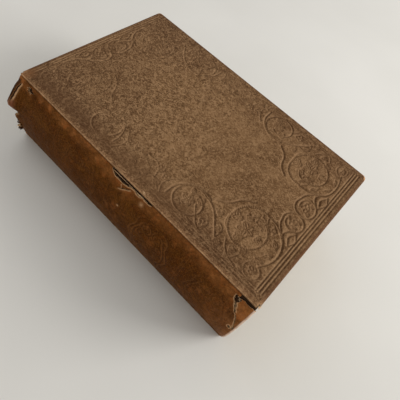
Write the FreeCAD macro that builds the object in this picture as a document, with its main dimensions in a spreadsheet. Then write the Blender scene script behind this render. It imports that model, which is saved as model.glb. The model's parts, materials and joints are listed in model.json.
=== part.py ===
"""A thick octavo prayer book in a cloth case binding, closed and lying on its back cover.

Frame: +X from the spine to the fore edge, +Y from the tail to the head, +Z up through the
closed book. The origin is at the middle of the closed book's footprint, on the surface it
lies on. Both covers turn on the round bead that the cloth makes at the joint.
"""
import FreeCAD, Part
import math
import os

import Sketcher
from FreeCAD import Placement, Rotation, Vector

os.makedirs("parts", exist_ok=True)
doc = FreeCAD.newDocument("prayer_book")

# ---------------------------------------------------------------- driving dimensions, mm

DRIVING = {
    "cover_height": 220.0,       # tail to head
    "cover_width": 142.5,        # joint ridge to fore edge
    "book_thickness": 66.4,      # across the closed book
    "spine_swell": 7.0,          # how far the spine stands out behind the joint ridges
    "board_thickness": 2.6,
    "cloth_thickness": 0.4,
    "paper_thickness": 0.2,      # endpapers and the loose leaves
    "air_gap": 0.1,              # between leaves that turn
    "square_width": 3.5,         # how far the boards stand past the leaves
    "turn_in_width": 15.0,       # cloth folded over onto the inside of a board
    "pastedown_inset": 1.0,      # from the start of the cover's cloth
    "fly_fold_inset": 0.8,
    "title_fold_inset": 0.5,     # from the fold of the front flyleaf
    "fore_corner_radius": 3.4,
    "bead_radius": 1.2,          # cloth bead at the joint, centred on the hinge axis
    "joint_clearance": 0.35,     # between a bead or an opened cover and the spine cloth
    "inlay_thickness": 0.9,      # card inside the spine cloth
    "inlay_margin": 1.5,         # cloth past the card along each joint
    "hollow_gap": 0.3,           # hollow back, between the case and the lined block
    "lining_thickness": 0.3,
    "lining_margin": 2.0,        # leaves past the lining at head and tail
    "mull_thickness": 0.2,
    "mull_margin": 15.0,         # leaves past the mull at head and tail
    "layer_margin": 0.5,         # folds past the layers glued to them, front and back
    "tape_thickness": 0.4,
    "tape_width": 12.0,
    "tape_spacing": 58.0,
    "thread_radius": 0.14,
    "band_radius": 1.1,          # headband and tailband
    "band_setback": 0.6,         # under the backs of the folds
    "section_count": 32.0,
    "mid_tear_middle": -6.6,     # torn front joint, along the book
    "mid_tear_length": 35.0,
    "mid_tear_depth": 4.0,
    "tail_tear_length": 11.0,
    "tail_tear_depth": 9.0,
    "head_tear_length": 5.5,
    "head_tear_depth": 22.0,
}

CLOTH_START = 0.6        # flat of a cover's cloth, in bead radii past the bead's axis
BOARD_START = 1.1        # board, in bead radii past the bead's axis
STITCH_ROOM = 2.2        # room for a stitch, in thread radii
STITCH_SETBACK = 1.1     # axis of a stitch, in thread radii
TAPE_ROOM = 1.1          # room for a tape, in tape thicknesses
BAND_SPAN = 0.42         # half the span of a headband, in book thicknesses
PAST = 1.0               # how far a cutting outline runs past what it cuts
INLAY_PLAY = 0.05
LEAST_CUT = 1e-6


def derived_dimensions(d):
    """The sizes that follow from the driving ones."""
    total_width = d["cover_width"] + d["spine_swell"]
    fore_x = total_width / 2
    ridge_x = fore_x - d["cover_width"]
    bead_x = ridge_x + d["bead_radius"]
    cover_start_x = bead_x + CLOTH_START * d["bead_radius"]
    board_start_x = bead_x + BOARD_START * d["bead_radius"]
    cloth_case = 2 * d["cloth_thickness"] + d["board_thickness"]
    cover_thickness = cloth_case + d["paper_thickness"]
    spine_low = 2 * d["bead_radius"] + d["joint_clearance"]
    half_chord = d["book_thickness"] / 2 - spine_low
    swell = d["spine_swell"] + d["joint_clearance"]
    spine_radius = (half_chord**2 + swell**2) / (2 * swell)
    arc_centre_x = -fore_x + spine_radius
    case_inner = spine_radius - 2 * d["cloth_thickness"] - d["inlay_thickness"]
    lining_outer = case_inner - d["hollow_gap"]
    mull_outer = lining_outer - d["lining_thickness"]
    thread_outer = mull_outer - d["mull_thickness"]
    tape_outer = thread_outer - STITCH_ROOM * d["thread_radius"]
    fold_radius = tape_outer - TAPE_ROOM * d["tape_thickness"]
    leaf_step = d["paper_thickness"] + d["air_gap"]
    block_low = cover_thickness + d["air_gap"] + leaf_step
    block_high = d["book_thickness"] - cover_thickness - d["air_gap"] - 2 * leaf_step
    section_pitch = (block_high - block_low) / d["section_count"]
    fold_centre_radius = fold_radius - section_pitch / 2
    edge_rise = d["book_thickness"] / 2 - block_low - section_pitch / 2
    first_fold_x = arc_centre_x - math.sqrt(fold_centre_radius**2 - edge_rise**2)
    leaf_fore_x = fore_x - d["square_width"]
    fly_fold_x = cover_start_x + d["fly_fold_inset"]
    title_fold_x = fly_fold_x + d["title_fold_inset"]
    return {
        "fore_x": fore_x,
        "bead_x": bead_x,
        "cover_start_x": cover_start_x,
        "board_start_x": board_start_x,
        "cloth_case_thickness": cloth_case,
        "cover_thickness": cover_thickness,
        "spine_low": spine_low,
        "spine_radius": spine_radius,
        "arc_centre_x": arc_centre_x,
        "case_inner_radius": case_inner,
        "lining_outer_radius": lining_outer,
        "mull_outer_radius": mull_outer,
        "thread_outer_radius": thread_outer,
        "tape_outer_radius": tape_outer,
        "fold_radius": fold_radius,
        "fold_centre_radius": fold_centre_radius,
        "block_low": block_low,
        "block_high": block_high,
        "section_pitch": section_pitch,
        "leaf_height": d["cover_height"] - 2 * d["square_width"],
        "leaf_width": leaf_fore_x - first_fold_x,
        "fly_fold_x": fly_fold_x,
        "fly_width": leaf_fore_x - fly_fold_x,
        "title_fold_x": title_fold_x,
        "title_width": leaf_fore_x - title_fold_x,
        "cloth_top": d["cloth_thickness"] + d["board_thickness"],
    }


dims = doc.addObject("Spreadsheet::Sheet", "dims")
values = dict(DRIVING)
values.update(derived_dimensions(DRIVING))
for row, (name, value) in enumerate(values.items(), start=1):
    dims.set(f"A{row}", name)
    dims.set(f"B{row}", repr(round(value, 6)))
    dims.setAlias(f"B{row}", name)
doc.recompute()
v = values

# ------------------------------------------------------------------------------- helpers


def new_body(label):
    """An empty body whose Label is the name of its sub-part."""
    body = doc.addObject("PartDesign::Body", label)
    body.Label = label
    return body


def new_sketch(body, name, role, lift=None):
    """A sketch on one of the body's own origin planes, lifted along its normal if asked."""
    sketch = body.newObject("Sketcher::SketchObject", name)
    plane = [o for o in body.Origin.OriginFeatures if o.Role == role][0]
    sketch.AttachmentSupport = [(plane, "")]
    sketch.MapMode = "FlatFace"
    if lift is not None:
        sketch.AttachmentOffset = Placement(Vector(0, 0, number(lift)), Rotation())
        sketch.setExpression("AttachmentOffset.Base.z", lift)
    return sketch


def number(expression):
    """The value of an expression over the sheet's cells."""
    return float(dims.evalExpression(expression.replace("dims.", "")))


def drive(sketch, constraint, expression):
    """Adds a dimension to a sketch and binds it to an expression."""
    index = sketch.addConstraint(constraint)
    sketch.setExpression(f"Constraints[{index}]", expression)


def place_point(sketch, geometry, end, across, up):
    """Fixes one end of a piece of geometry at two expressions from the sketch's origin."""
    for kind, expression in (("DistanceX", across), ("DistanceY", up)):
        constraint = Sketcher.Constraint(kind, -1, 1, geometry, end, number(expression))
        drive(sketch, constraint, expression)


def rectangle(sketch, left, right, low, high):
    """A rectangle whose four sides are at the given expressions."""
    corners = [(left, low), (right, low), (right, high), (left, high)]
    points = [Vector(number(a), number(b), 0) for a, b in corners]
    for i in range(4):
        sketch.addGeometry(Part.LineSegment(points[i], points[(i + 1) % 4]), False)
    for i in range(4):
        sketch.addConstraint(Sketcher.Constraint("Coincident", i, 2, (i + 1) % 4, 1))
    for i in (0, 2):
        sketch.addConstraint(Sketcher.Constraint("Horizontal", i))
        sketch.addConstraint(Sketcher.Constraint("Vertical", i + 1))
    place_point(sketch, 0, 1, left, low)
    place_point(sketch, 2, 1, right, high)


def arc_band(sketch, outer, inner, half_height):
    """The band between two arcs about the sketch's origin, on its left side, cut off level
    at half_height above and below."""
    tall = number(half_height)
    ends = []
    for radius in (outer, inner):
        r = number(radius)
        half_angle = math.asin(tall / r)
        arc = Part.ArcOfCircle(
            Part.Circle(Vector(), Vector(0, 0, 1), r), math.pi - half_angle, math.pi + half_angle
        )
        sketch.addGeometry(arc, False)
        ends.append(-r * math.cos(half_angle))
    for side in (1, -1):
        start, stop = (Vector(x, side * tall, 0) for x in ends)
        sketch.addGeometry(Part.LineSegment(start, stop), False)
    for line, end in ((2, 1), (3, 2)):
        sketch.addConstraint(Sketcher.Constraint("Coincident", 0, end, line, 1))
        sketch.addConstraint(Sketcher.Constraint("Coincident", 1, end, line, 2))
        sketch.addConstraint(Sketcher.Constraint("Horizontal", line))
    for arc, radius in enumerate((outer, inner)):
        sketch.addConstraint(Sketcher.Constraint("Coincident", arc, 3, -1, 1))
        drive(sketch, Sketcher.Constraint("Radius", arc, number(radius)), radius)
    for line, sign in ((2, ""), (3, "-")):
        level = f"{sign}({half_height})"
        drive(sketch, Sketcher.Constraint("DistanceY", -1, 1, line, 1, number(level)), level)


def pad(body, name, sketch, length, both_sides=False, reverse=False):
    """Adds a solid of a sketch, up from it or equally to both sides."""
    feature = body.newObject("PartDesign::Pad", name)
    feature.Profile = sketch
    feature.SideType = "Symmetric" if both_sides else "One side"
    feature.Reversed = reverse
    feature.setExpression("Length", length)
    sketch.Visibility = False
    return feature


def pocket(body, name, sketch, length, both_sides=False):
    """Cuts a sketch out of the body, down from it or equally to both sides, and makes sure
    that it took something away."""
    doc.recompute()
    before = body.Shape.Volume
    feature = body.newObject("PartDesign::Pocket", name)
    feature.Profile = sketch
    feature.SideType = "Symmetric" if both_sides else "One side"
    feature.setExpression("Length", length)
    sketch.Visibility = False
    doc.recompute()
    if body.Shape.Volume > before - LEAST_CUT:
        raise RuntimeError(f"{name} cut nothing from {body.Label}")
    return feature


def round_corners(body, name, base, chosen, radius):
    """Fillets the upright edges of a body that chosen() picks by their middle point."""
    doc.recompute()
    picked = []
    for i, edge in enumerate(base.Shape.Edges, start=1):
        ends = [vertex.Point for vertex in edge.Vertexes]
        upright = len(ends) == 2 and (ends[0] - ends[1]).cross(Vector(0, 0, 1)).Length < 1e-6
        if upright and chosen(edge.CenterOfMass):
            picked.append(f"Edge{i}")
    feature = body.newObject("PartDesign::Fillet", name)
    feature.Base = (base, picked)
    feature.setExpression("Radius", radius)
    return feature


def put(body, x="0", y="0", z="0", turned=False):
    """Places a body at three expressions, turned over about X for the upper cover."""
    turn = Rotation(Vector(1, 0, 0), 180) if turned else Rotation()
    body.Placement = Placement(Vector(number(x), number(y), number(z)), turn)
    for axis, expression in (("x", x), ("y", y), ("z", z)):
        body.setExpression(f"Placement.Base.{axis}", expression)


# ---------------------------------------------------------------------------- the covers

HALF_COVER = "dims.cover_height / 2"


def make_cover(side, turned):
    """One cover in its own frame, outer face down: board, cloth and pastedown."""
    height = "dims.book_thickness" if turned else "0"
    make_board(side + "_board", height, turned)
    make_cover_cloth(side + "_cover_cloth", height, turned)
    make_pastedown(side + "_pastedown", height, turned)


def cover_rectangle(sketch, start_x, inset):
    """The outline of a cover layer, inset from the fore edge, the head and the tail."""
    edge = f"{HALF_COVER} - {inset}"
    rectangle(sketch, start_x, f"dims.fore_x - {inset}", f"-({edge})", edge)


def make_board(label, height, turned):
    """Millboard with rounded fore corners."""
    body = new_body(label)
    outline = new_sketch(body, label + "_outline", "XY_Plane", "dims.cloth_thickness")
    cover_rectangle(outline, "dims.board_start_x", "dims.cloth_thickness")
    plate = pad(body, label + "_plate", outline, "dims.board_thickness")
    radius = "dims.fore_corner_radius - dims.cloth_thickness"
    round_corners(body, label + "_corners", plate, lambda p: p.x > 0, radius)
    put(body, z=height, turned=turned)


def make_cover_cloth(label, height, turned):
    """The cloth over the board's face and edges, its turn-ins, and the joint bead."""
    body = new_body(label)
    outline = new_sketch(body, label + "_outline", "XY_Plane")
    cover_rectangle(outline, "dims.cover_start_x", "0")
    wrap = pad(body, label + "_wrap", outline, "dims.cloth_case_thickness")
    corners = round_corners(
        body, label + "_corners", wrap, lambda p: p.x > 0, "dims.fore_corner_radius"
    )
    body.Tip = corners
    bead_profile = new_sketch(body, label + "_bead_profile", "XZ_Plane")
    bead_profile.addGeometry(
        Part.Circle(Vector(v["bead_x"], v["bead_radius"], 0), Vector(0, 0, 1), v["bead_radius"]),
        False,
    )
    place_point(bead_profile, 0, 3, "dims.bead_x", "dims.bead_radius")
    drive(
        bead_profile, Sketcher.Constraint("Radius", 0, v["bead_radius"]), "dims.bead_radius"
    )
    pad(body, label + "_bead", bead_profile, "dims.cover_height", both_sides=True)
    window = new_sketch(body, label + "_window", "XY_Plane", "dims.cloth_case_thickness")
    cover_rectangle(window, "dims.board_start_x + dims.turn_in_width", "dims.turn_in_width")
    pocket(body, label + "_inside_opening", window, "dims.cloth_thickness")
    room = new_sketch(body, label + "_room", "XY_Plane", "dims.cloth_top")
    cover_rectangle(room, "dims.board_start_x", "dims.cloth_thickness")
    pocket(body, label + "_board_room", room, "dims.board_thickness")
    put(body, z=height, turned=turned)


def make_pastedown(label, height, turned):
    """The endpaper pasted to the inside of a cover: one sheet that lies on the turn-ins
    and steps down onto the board inside them."""
    body = new_body(label)
    sheet = new_sketch(body, label + "_sheet", "XY_Plane", "dims.cloth_case_thickness")
    cover_rectangle(sheet, "dims.cover_start_x + dims.pastedown_inset", "dims.square_width")
    pad(body, label + "_on_turn_ins", sheet, "dims.paper_thickness")
    sunk = new_sketch(body, label + "_sunk", "XY_Plane", "dims.cloth_top")
    cover_rectangle(sunk, "dims.board_start_x + dims.turn_in_width", "dims.turn_in_width")
    pad(body, label + "_on_board", sunk, "dims.cloth_thickness + dims.paper_thickness")
    dish = new_sketch(body, label + "_dish", "XY_Plane", "dims.cover_thickness")
    wall = "dims.turn_in_width + dims.paper_thickness"
    cover_rectangle(dish, f"dims.board_start_x + {wall}", wall)
    pocket(body, label + "_step", dish, "dims.cloth_thickness")
    put(body, z=height, turned=turned)


# ----------------------------------------------------------------------- leaves and sections


def make_leaf(label, thickness, width, x, z):
    """A leaf, or a sewn section of leaves, with a round fold at its spine side. Its own
    origin is the centre of the fold."""
    body = new_body(label)
    profile = new_sketch(body, label + "_profile", "XZ_Plane")
    half, wide = number(thickness) / 2, number(width)
    fold = Part.ArcOfCircle(
        Part.Circle(Vector(), Vector(0, 0, 1), half), math.pi / 2, 3 * math.pi / 2
    )
    profile.addGeometry(fold, False)
    outline = [Vector(0, -half, 0), Vector(wide, -half, 0), Vector(wide, half, 0), Vector(0, half, 0)]
    for start, stop in zip(outline, outline[1:]):
        profile.addGeometry(Part.LineSegment(start, stop), False)
    for first, second in ((0, 1), (1, 2), (2, 3)):
        profile.addConstraint(Sketcher.Constraint("Coincident", first, 2, second, 1))
    profile.addConstraint(Sketcher.Constraint("Coincident", 3, 2, 0, 1))
    profile.addConstraint(Sketcher.Constraint("Coincident", 0, 3, -1, 1))
    for line in (1, 3):
        profile.addConstraint(Sketcher.Constraint("Horizontal", line))
    profile.addConstraint(Sketcher.Constraint("Vertical", 2))
    profile.addConstraint(Sketcher.Constraint("PointOnObject", 0, 2, -2))
    drive(profile, Sketcher.Constraint("Radius", 0, half), f"({thickness}) / 2")
    drive(profile, Sketcher.Constraint("DistanceX", -1, 1, 2, 1, wide), width)
    pad(body, label + "_leaves", profile, "dims.leaf_height", both_sides=True)
    put(body, x=x, z=z)


def make_sections():
    """The text: sewn sections, each set back along the round of the spine."""
    for i in range(int(v["section_count"])):
        middle = f"dims.block_low + {i + 0.5} * dims.section_pitch"
        rise = f"({middle} - dims.book_thickness / 2)"
        fold_x = f"dims.arc_centre_x - sqrt(dims.fold_centre_radius ^ 2 - {rise} ^ 2)"
        label = f"section_{i + 1:02d}"
        make_leaf(label, "dims.section_pitch", "dims.leaf_width", fold_x, middle)


def make_loose_leaves():
    """Flyleaves next to both covers, and the title leaf under the front flyleaf."""
    half = "dims.paper_thickness / 2"
    first = f"(dims.cover_thickness + dims.air_gap + {half})"
    spots = {
        "back_flyleaf": first,
        "front_flyleaf": f"dims.book_thickness - {first}",
        "title_leaf": f"dims.book_thickness - {first} - dims.paper_thickness - dims.air_gap",
    }
    for label, z in spots.items():
        kind = "title" if label == "title_leaf" else "fly"
        make_leaf(label, "dims.paper_thickness", f"dims.{kind}_width", f"dims.{kind}_fold_x", z)


# -------------------------------------------------------------------------------- the back


def make_arc_layer(label, outer, inner, half_height, length, y="0"):
    """A curved layer on the round of the spine, about the spine's own axis."""
    body = new_body(label)
    profile = new_sketch(body, label + "_profile", "XZ_Plane")
    arc_band(profile, outer, inner, half_height)
    pad(body, label + "_layer", profile, length, both_sides=True)
    put(body, x="dims.arc_centre_x", y=y, z="dims.book_thickness / 2")
    return body


SPINE_HALF = "dims.book_thickness / 2 - dims.spine_low"
INLAY_HALF = SPINE_HALF + " - dims.inlay_margin"
INLAY_OUTER = "dims.spine_radius - dims.cloth_thickness"
INLAY_LENGTH = "dims.cover_height - 2 * dims.cloth_thickness"


def make_spine_cloth():
    """The cloth back of the case, turned in over the inlay at head and tail, with the torn
    places: the middle of the front joint, the front corner at the tail, and the head cap."""
    inner = "dims.case_inner_radius"
    body = make_arc_layer(
        "spine_cloth", "dims.spine_radius", INLAY_OUTER, SPINE_HALF, "dims.cover_height"
    )
    folded = new_sketch(body, "spine_cloth_folded", "XZ_Plane")
    overlap = "dims.cloth_thickness / 2"
    arc_band(folded, f"{INLAY_OUTER} + {overlap}", inner, INLAY_HALF + " + dims.cloth_thickness")
    pad(body, "spine_cloth_turn_ins", folded, "dims.cover_height", both_sides=True)
    hollow = new_sketch(body, "spine_cloth_hollow", "XZ_Plane")
    arc_band(hollow, INLAY_OUTER, f"{inner} - {PAST}", f"{SPINE_HALF} + {PAST}")
    pocket(body, "spine_cloth_open_inside", hollow, INLAY_LENGTH + " - 2 * dims.turn_in_width", True)
    room = new_sketch(body, "spine_cloth_room", "XZ_Plane")
    turn_in_outer = f"{inner} + dims.cloth_thickness"
    arc_band(room, INLAY_OUTER, turn_in_outer, f"{INLAY_HALF} + {INLAY_PLAY}")
    pocket(body, "spine_cloth_inlay_room", room, INLAY_LENGTH, True)
    top = f"{SPINE_HALF} + {PAST}"
    ends = f"{HALF_COVER} + {PAST}"
    half_mid = "dims.mid_tear_length / 2"
    tears = {
        "mid_tear": (
            f"dims.mid_tear_middle - {half_mid}", f"dims.mid_tear_middle + {half_mid}",
            f"{SPINE_HALF} - dims.mid_tear_depth", top,
        ),
        "tail_tear": (
            f"-({ends})", f"-({HALF_COVER} - dims.tail_tear_length)",
            f"{SPINE_HALF} - dims.tail_tear_depth", top,
        ),
        "head_tear": (
            f"{HALF_COVER} - dims.head_tear_length", ends,
            f"{SPINE_HALF} - dims.head_tear_depth", top,
        ),
    }
    for name, sides in tears.items():
        tear = new_sketch(body, "spine_cloth_" + name, "YZ_Plane")
        rectangle(tear, *sides)
        pocket(body, "spine_cloth_" + name + "_cut", tear, "4 * dims.spine_radius", True)


def make_back_layers():
    """What lies between the case and the folds of the sections."""
    make_arc_layer(
        "spine_inlay", INLAY_OUTER, "dims.case_inner_radius + dims.cloth_thickness",
        INLAY_HALF, INLAY_LENGTH,
    )
    block_half = "(dims.block_high - dims.block_low) / 2 - dims.layer_margin"
    make_arc_layer(
        "spine_lining", "dims.lining_outer_radius",
        "dims.lining_outer_radius - dims.lining_thickness", block_half,
        "dims.leaf_height - 2 * dims.lining_margin",
    )
    make_arc_layer(
        "mull", "dims.mull_outer_radius", "dims.mull_outer_radius - dims.mull_thickness",
        block_half, "dims.leaf_height - 2 * dims.mull_margin",
    )
    for i, steps in enumerate((-1, 0, 1), start=1):
        make_arc_layer(
            f"sewing_tape_{i}", "dims.tape_outer_radius",
            "dims.tape_outer_radius - dims.tape_thickness",
            block_half, "dims.tape_width", f"{steps} * dims.tape_spacing",
        )


def make_thread():
    """The stitches that hold each section to the tapes, as one group."""
    stitches = []
    reach = v["thread_outer_radius"] - STITCH_SETBACK * v["thread_radius"]
    for i in range(int(v["section_count"])):
        z = v["block_low"] + (i + 0.5) * v["section_pitch"]
        rise = z - v["book_thickness"] / 2
        x = v["arc_centre_x"] - math.sqrt(reach**2 - rise**2)
        for steps in (-1, 0, 1):
            y = steps * v["tape_spacing"] - v["tape_width"] / 2
            stitch = doc.addObject("Part::Cylinder", f"stitch_{i + 1:02d}_{steps + 2}")
            stitch.setExpression("Radius", "dims.thread_radius")
            stitch.setExpression("Height", "dims.tape_width")
            stitch.Placement = Placement(Vector(x, y, z), Rotation(Vector(1, 0, 0), -90))
            stitches.append(stitch)
    group = doc.addObject("Part::Compound", "sewing_thread")
    group.Label = "sewing_thread"
    group.Links = stitches


def make_band(label, end):
    """A headband: a cord that lies on the ends of the folds, bent to the round spine."""
    body = new_body(label)
    profile = new_sketch(body, label + "_profile", "XY_Plane")
    reach = "dims.fold_radius - dims.band_radius - dims.band_setback"
    circle = Part.Circle(Vector(-number(reach), 0, 0), Vector(0, 0, 1), v["band_radius"])
    profile.addGeometry(circle, False)
    profile.addConstraint(Sketcher.Constraint("PointOnObject", 0, 3, -1))
    drive(profile, Sketcher.Constraint("DistanceX", -1, 1, 0, 3, -number(reach)), f"-({reach})")
    drive(profile, Sketcher.Constraint("Radius", 0, v["band_radius"]), "dims.band_radius")
    cord = body.newObject("PartDesign::Revolution", label + "_cord")
    cord.Profile = profile
    cord.ReferenceAxis = (profile, ["V_Axis"])
    cord.Angle = 2 * math.degrees(math.asin(BAND_SPAN * v["book_thickness"] / v["fold_radius"]))
    cord.Midplane = True
    profile.Visibility = False
    offset = "(dims.leaf_height / 2 + dims.band_radius)"
    put(body, "dims.arc_centre_x", f"{end} * {offset}", "dims.book_thickness / 2")


# ---------------------------------------------------------------------------- build, check

make_cover("back", turned=False)
make_cover("front", turned=True)
make_sections()
make_loose_leaves()
make_spine_cloth()
make_back_layers()
make_thread()
make_band("headband", 1)
make_band("tailband", -1)
doc.recompute()

pieces = [o for o in doc.Objects if o.TypeId in ("PartDesign::Body", "Part::Compound")]
for item in doc.Objects:
    if "Invalid" in item.State or "Error" in item.State:
        raise RuntimeError(f"{item.Name} failed: {item.State}")
for piece in pieces:
    if piece.Shape.isNull() or not piece.Shape.isValid():
        raise RuntimeError(f"{piece.Label} has no valid shape")
for piece in pieces:
    piece.Shape.exportStep(f"parts/{piece.Label}.step")
    print(piece.Label, round(piece.Shape.Volume, 1), len(piece.Shape.Solids))
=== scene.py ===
"""The looks of a worn, blind-stamped prayer book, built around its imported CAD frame.

Shapes are worked out in millimetres and turned into metres when a mesh is made. On a cover,
u runs from the joint ridge to the fore edge and v from the tail to the head. On the spine,
p runs around the back from the front joint and q from the tail to the head.
"""
import json
import math

import bpy
import numpy as np
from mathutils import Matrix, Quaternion, Vector


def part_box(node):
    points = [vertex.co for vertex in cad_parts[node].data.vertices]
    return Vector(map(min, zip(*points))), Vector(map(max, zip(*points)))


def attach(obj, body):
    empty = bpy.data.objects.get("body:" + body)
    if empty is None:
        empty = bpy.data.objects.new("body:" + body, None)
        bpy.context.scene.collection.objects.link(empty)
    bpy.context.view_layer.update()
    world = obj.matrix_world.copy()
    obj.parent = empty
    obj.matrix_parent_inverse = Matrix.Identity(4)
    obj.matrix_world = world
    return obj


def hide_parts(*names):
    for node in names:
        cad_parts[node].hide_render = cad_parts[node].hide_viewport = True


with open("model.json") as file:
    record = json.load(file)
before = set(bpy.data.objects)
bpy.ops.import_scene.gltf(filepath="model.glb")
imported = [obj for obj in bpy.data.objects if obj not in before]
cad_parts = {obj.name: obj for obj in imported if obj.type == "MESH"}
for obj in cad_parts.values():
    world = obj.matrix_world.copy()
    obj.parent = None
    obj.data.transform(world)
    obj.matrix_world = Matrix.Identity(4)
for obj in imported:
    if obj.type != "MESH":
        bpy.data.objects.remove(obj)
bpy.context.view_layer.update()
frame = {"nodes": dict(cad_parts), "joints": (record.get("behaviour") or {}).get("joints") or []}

MM = 0.001
NODES = frame["nodes"]


def box_mm(node):
    """A node's lowest and highest corners in millimetres."""
    low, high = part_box(node)
    return np.array(low) / MM, np.array(high) / MM


# ------------------------------------------------------------- places read from the frame

COVER_LOW, COVER_HIGH = box_mm("front_cover_cloth")
SPINE_LOW, SPINE_HIGH = box_mm("spine_cloth")
RIDGE_X, FORE_X = COVER_LOW[0], COVER_HIGH[0]
HALF_LENGTH = COVER_HIGH[1]
TOP_Z = COVER_HIGH[2]
COVER_WIDTH = FORE_X - RIDGE_X
COVER_LENGTH = 2 * HALF_LENGTH
CASE_THICKNESS = COVER_HIGH[2] - COVER_LOW[2]
FRONT_HINGE = np.array(next(j["pos_m"] for j in frame["joints"] if j["name"] == "front_joint")) / MM
BEAD_RADIUS = FRONT_HINGE[0] - RIDGE_X

SPINE_CLEARANCE = 0.35
SPINE_HALF_CHORD = (SPINE_HIGH[2] - SPINE_LOW[2]) / 2
SPINE_SWELL = RIDGE_X + SPINE_CLEARANCE - SPINE_LOW[0]
SPINE_RADIUS = (SPINE_HALF_CHORD**2 + SPINE_SWELL**2) / (2 * SPINE_SWELL)
SPINE_CENTRE = np.array([SPINE_LOW[0] + SPINE_RADIUS, 0, TOP_Z / 2])
SPINE_HALF_ANGLE = math.asin(SPINE_HALF_CHORD / SPINE_RADIUS)
SPINE_WIDTH = 2 * SPINE_HALF_ANGLE * SPINE_RADIUS

# --------------------------------------------------------------------------- noise, shapes


def value_noise(a, b, size, seed):
    """Smooth noise from -1 to 1 over a plane, with features about size apart."""
    table = np.random.default_rng(seed).random((64, 64))
    x, y = np.asarray(a) / size, np.asarray(b) / size
    i, j = np.floor(x).astype(int), np.floor(y).astype(int)
    fx, fy = x - i, y - j
    fx, fy = fx * fx * (3 - 2 * fx), fy * fy * (3 - 2 * fy)
    i0, i1, j0, j1 = i % 64, (i + 1) % 64, j % 64, (j + 1) % 64
    low = table[i0, j0] * (1 - fx) + table[i1, j0] * fx
    high = table[i0, j1] * (1 - fx) + table[i1, j1] * fx
    return 2 * (low * (1 - fy) + high * fy) - 1


def fbm(a, b, size, seed, octaves=4):
    """Several octaves of value noise, from -1 to 1."""
    total, weight = 0.0, 0.0
    for k in range(octaves):
        total = total + 0.5**k * value_noise(a, b, size / 2**k, seed + k)
        weight += 0.5**k
    return total / weight


def smoothstep(low, high, x):
    """0 below low, 1 above high, smooth between; low may be above high."""
    t = np.clip((x - low) / (high - low), 0, 1)
    return t * t * (3 - 2 * t)


def bell(x, middle, width):
    """A smooth bump of height 1."""
    return np.exp(-(((x - middle) / width) ** 2))


def on_faces(values):
    """A grid's values at the middle of each of its faces."""
    return (values[:-1, :-1] + values[1:, 1:]) / 2


def from_ends(v):
    """How far a place along the book is from the nearer of its ends."""
    return np.minimum(v, COVER_LENGTH - v)


def make_object(name, vertices, faces, materials, body, marks=None, smooth=True):
    """A mesh object from millimetre vertices that rides on a body, with its named marks as
    attributes that its materials read."""
    mesh = bpy.data.meshes.new(name)
    mesh.from_pydata((np.asarray(vertices) * MM).tolist(), [], faces)
    for mark, numbers in (marks or {}).items():
        layer = mesh.attributes.new(mark, "FLOAT", "POINT")
        values = np.broadcast_to(np.asarray(numbers, np.float32).ravel(), len(mesh.vertices))
        layer.data.foreach_set("value", np.ascontiguousarray(values))
    mesh.polygons.foreach_set("use_smooth", [smooth] * len(mesh.polygons))
    for material in materials:
        mesh.materials.append(material)
    mesh.validate()
    piece = bpy.data.objects.new(name, mesh)
    bpy.context.scene.collection.objects.link(piece)
    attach(piece, body)
    return piece


def grid_object(name, points, materials, body, keep=None, marks=None, flip=False):
    """An object from a grid of points, with only the faces that keep says."""
    rows, cols = points.shape[:2]
    index = np.arange(rows * cols).reshape(rows, cols)
    corners = [index[:-1, :-1], index[1:, :-1], index[1:, 1:], index[:-1, 1:]]
    if flip:
        corners.reverse()
    quads = np.stack(corners, -1).reshape(-1, 4)
    if keep is not None:
        quads = quads[keep.reshape(-1)]
    used, faces = np.unique(quads, return_inverse=True)
    vertices = points.reshape(-1, 3)[used]
    marks = {k: np.broadcast_to(m, (rows, cols)).reshape(-1)[used] for k, m in (marks or {}).items()}
    faces = faces.reshape(-1, 4).tolist()
    return make_object(name, vertices, faces, materials, body, marks)


def tube(path, radius, sides=6):
    """Vertices and faces of a thin round tube along a path, closed at both ends."""
    path = np.asarray(path, float)
    along = np.gradient(path, axis=0)
    along /= np.linalg.norm(along, axis=1)[:, None]
    across = np.cross(along, [0.31, 0.2, 0.93])
    across /= np.linalg.norm(across, axis=1)[:, None]
    upward = np.cross(along, across)
    radius = np.broadcast_to(radius, len(path))
    turn = np.linspace(0, 2 * math.pi, sides, endpoint=False)
    ring = (
        across[:, None] * np.cos(turn)[None, :, None] + upward[:, None] * np.sin(turn)[None, :, None]
    )
    vertices = (path[:, None] + ring * radius[:, None, None]).reshape(-1, 3)
    faces = []
    for i in range(len(path) - 1):
        for k in range(sides):
            a, b = i * sides + k, i * sides + (k + 1) % sides
            faces.append((a, b, b + sides, a + sides))
    faces.append(tuple(range(sides))[::-1])
    faces.append(tuple(range(len(vertices) - sides, len(vertices))))
    return vertices, faces


def join_parts(parts):
    """Several (vertices, faces) as one."""
    vertices, faces, count = [], [], 0
    for part_vertices, part_faces in parts:
        vertices.append(part_vertices)
        faces += [tuple(i + count for i in face) for face in part_faces]
        count += len(part_vertices)
    return np.concatenate(vertices), faces


# ------------------------------------------------------------------------------ ornament


def curve_through(points, step=0.4):
    """Points about step apart on a smooth curve through a few control points."""
    points = np.array(points, float)
    padded = np.vstack([2 * points[0] - points[1], points, 2 * points[-1] - points[-2]])
    runs = []
    for i in range(1, len(padded) - 2):
        p0, p1, p2, p3 = padded[i - 1:i + 3]
        t = np.linspace(0, 1, max(2, int(np.linalg.norm(p2 - p1) / step)), endpoint=False)[:, None]
        runs.append(
            0.5 * (2 * p1 + (p2 - p0) * t + (2 * p0 - 5 * p1 + 4 * p2 - p3) * t**2
                   + (3 * p1 - p0 - 3 * p2 + p3) * t**3)
        )
    return np.vstack(runs + [points[-1:]])


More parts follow.
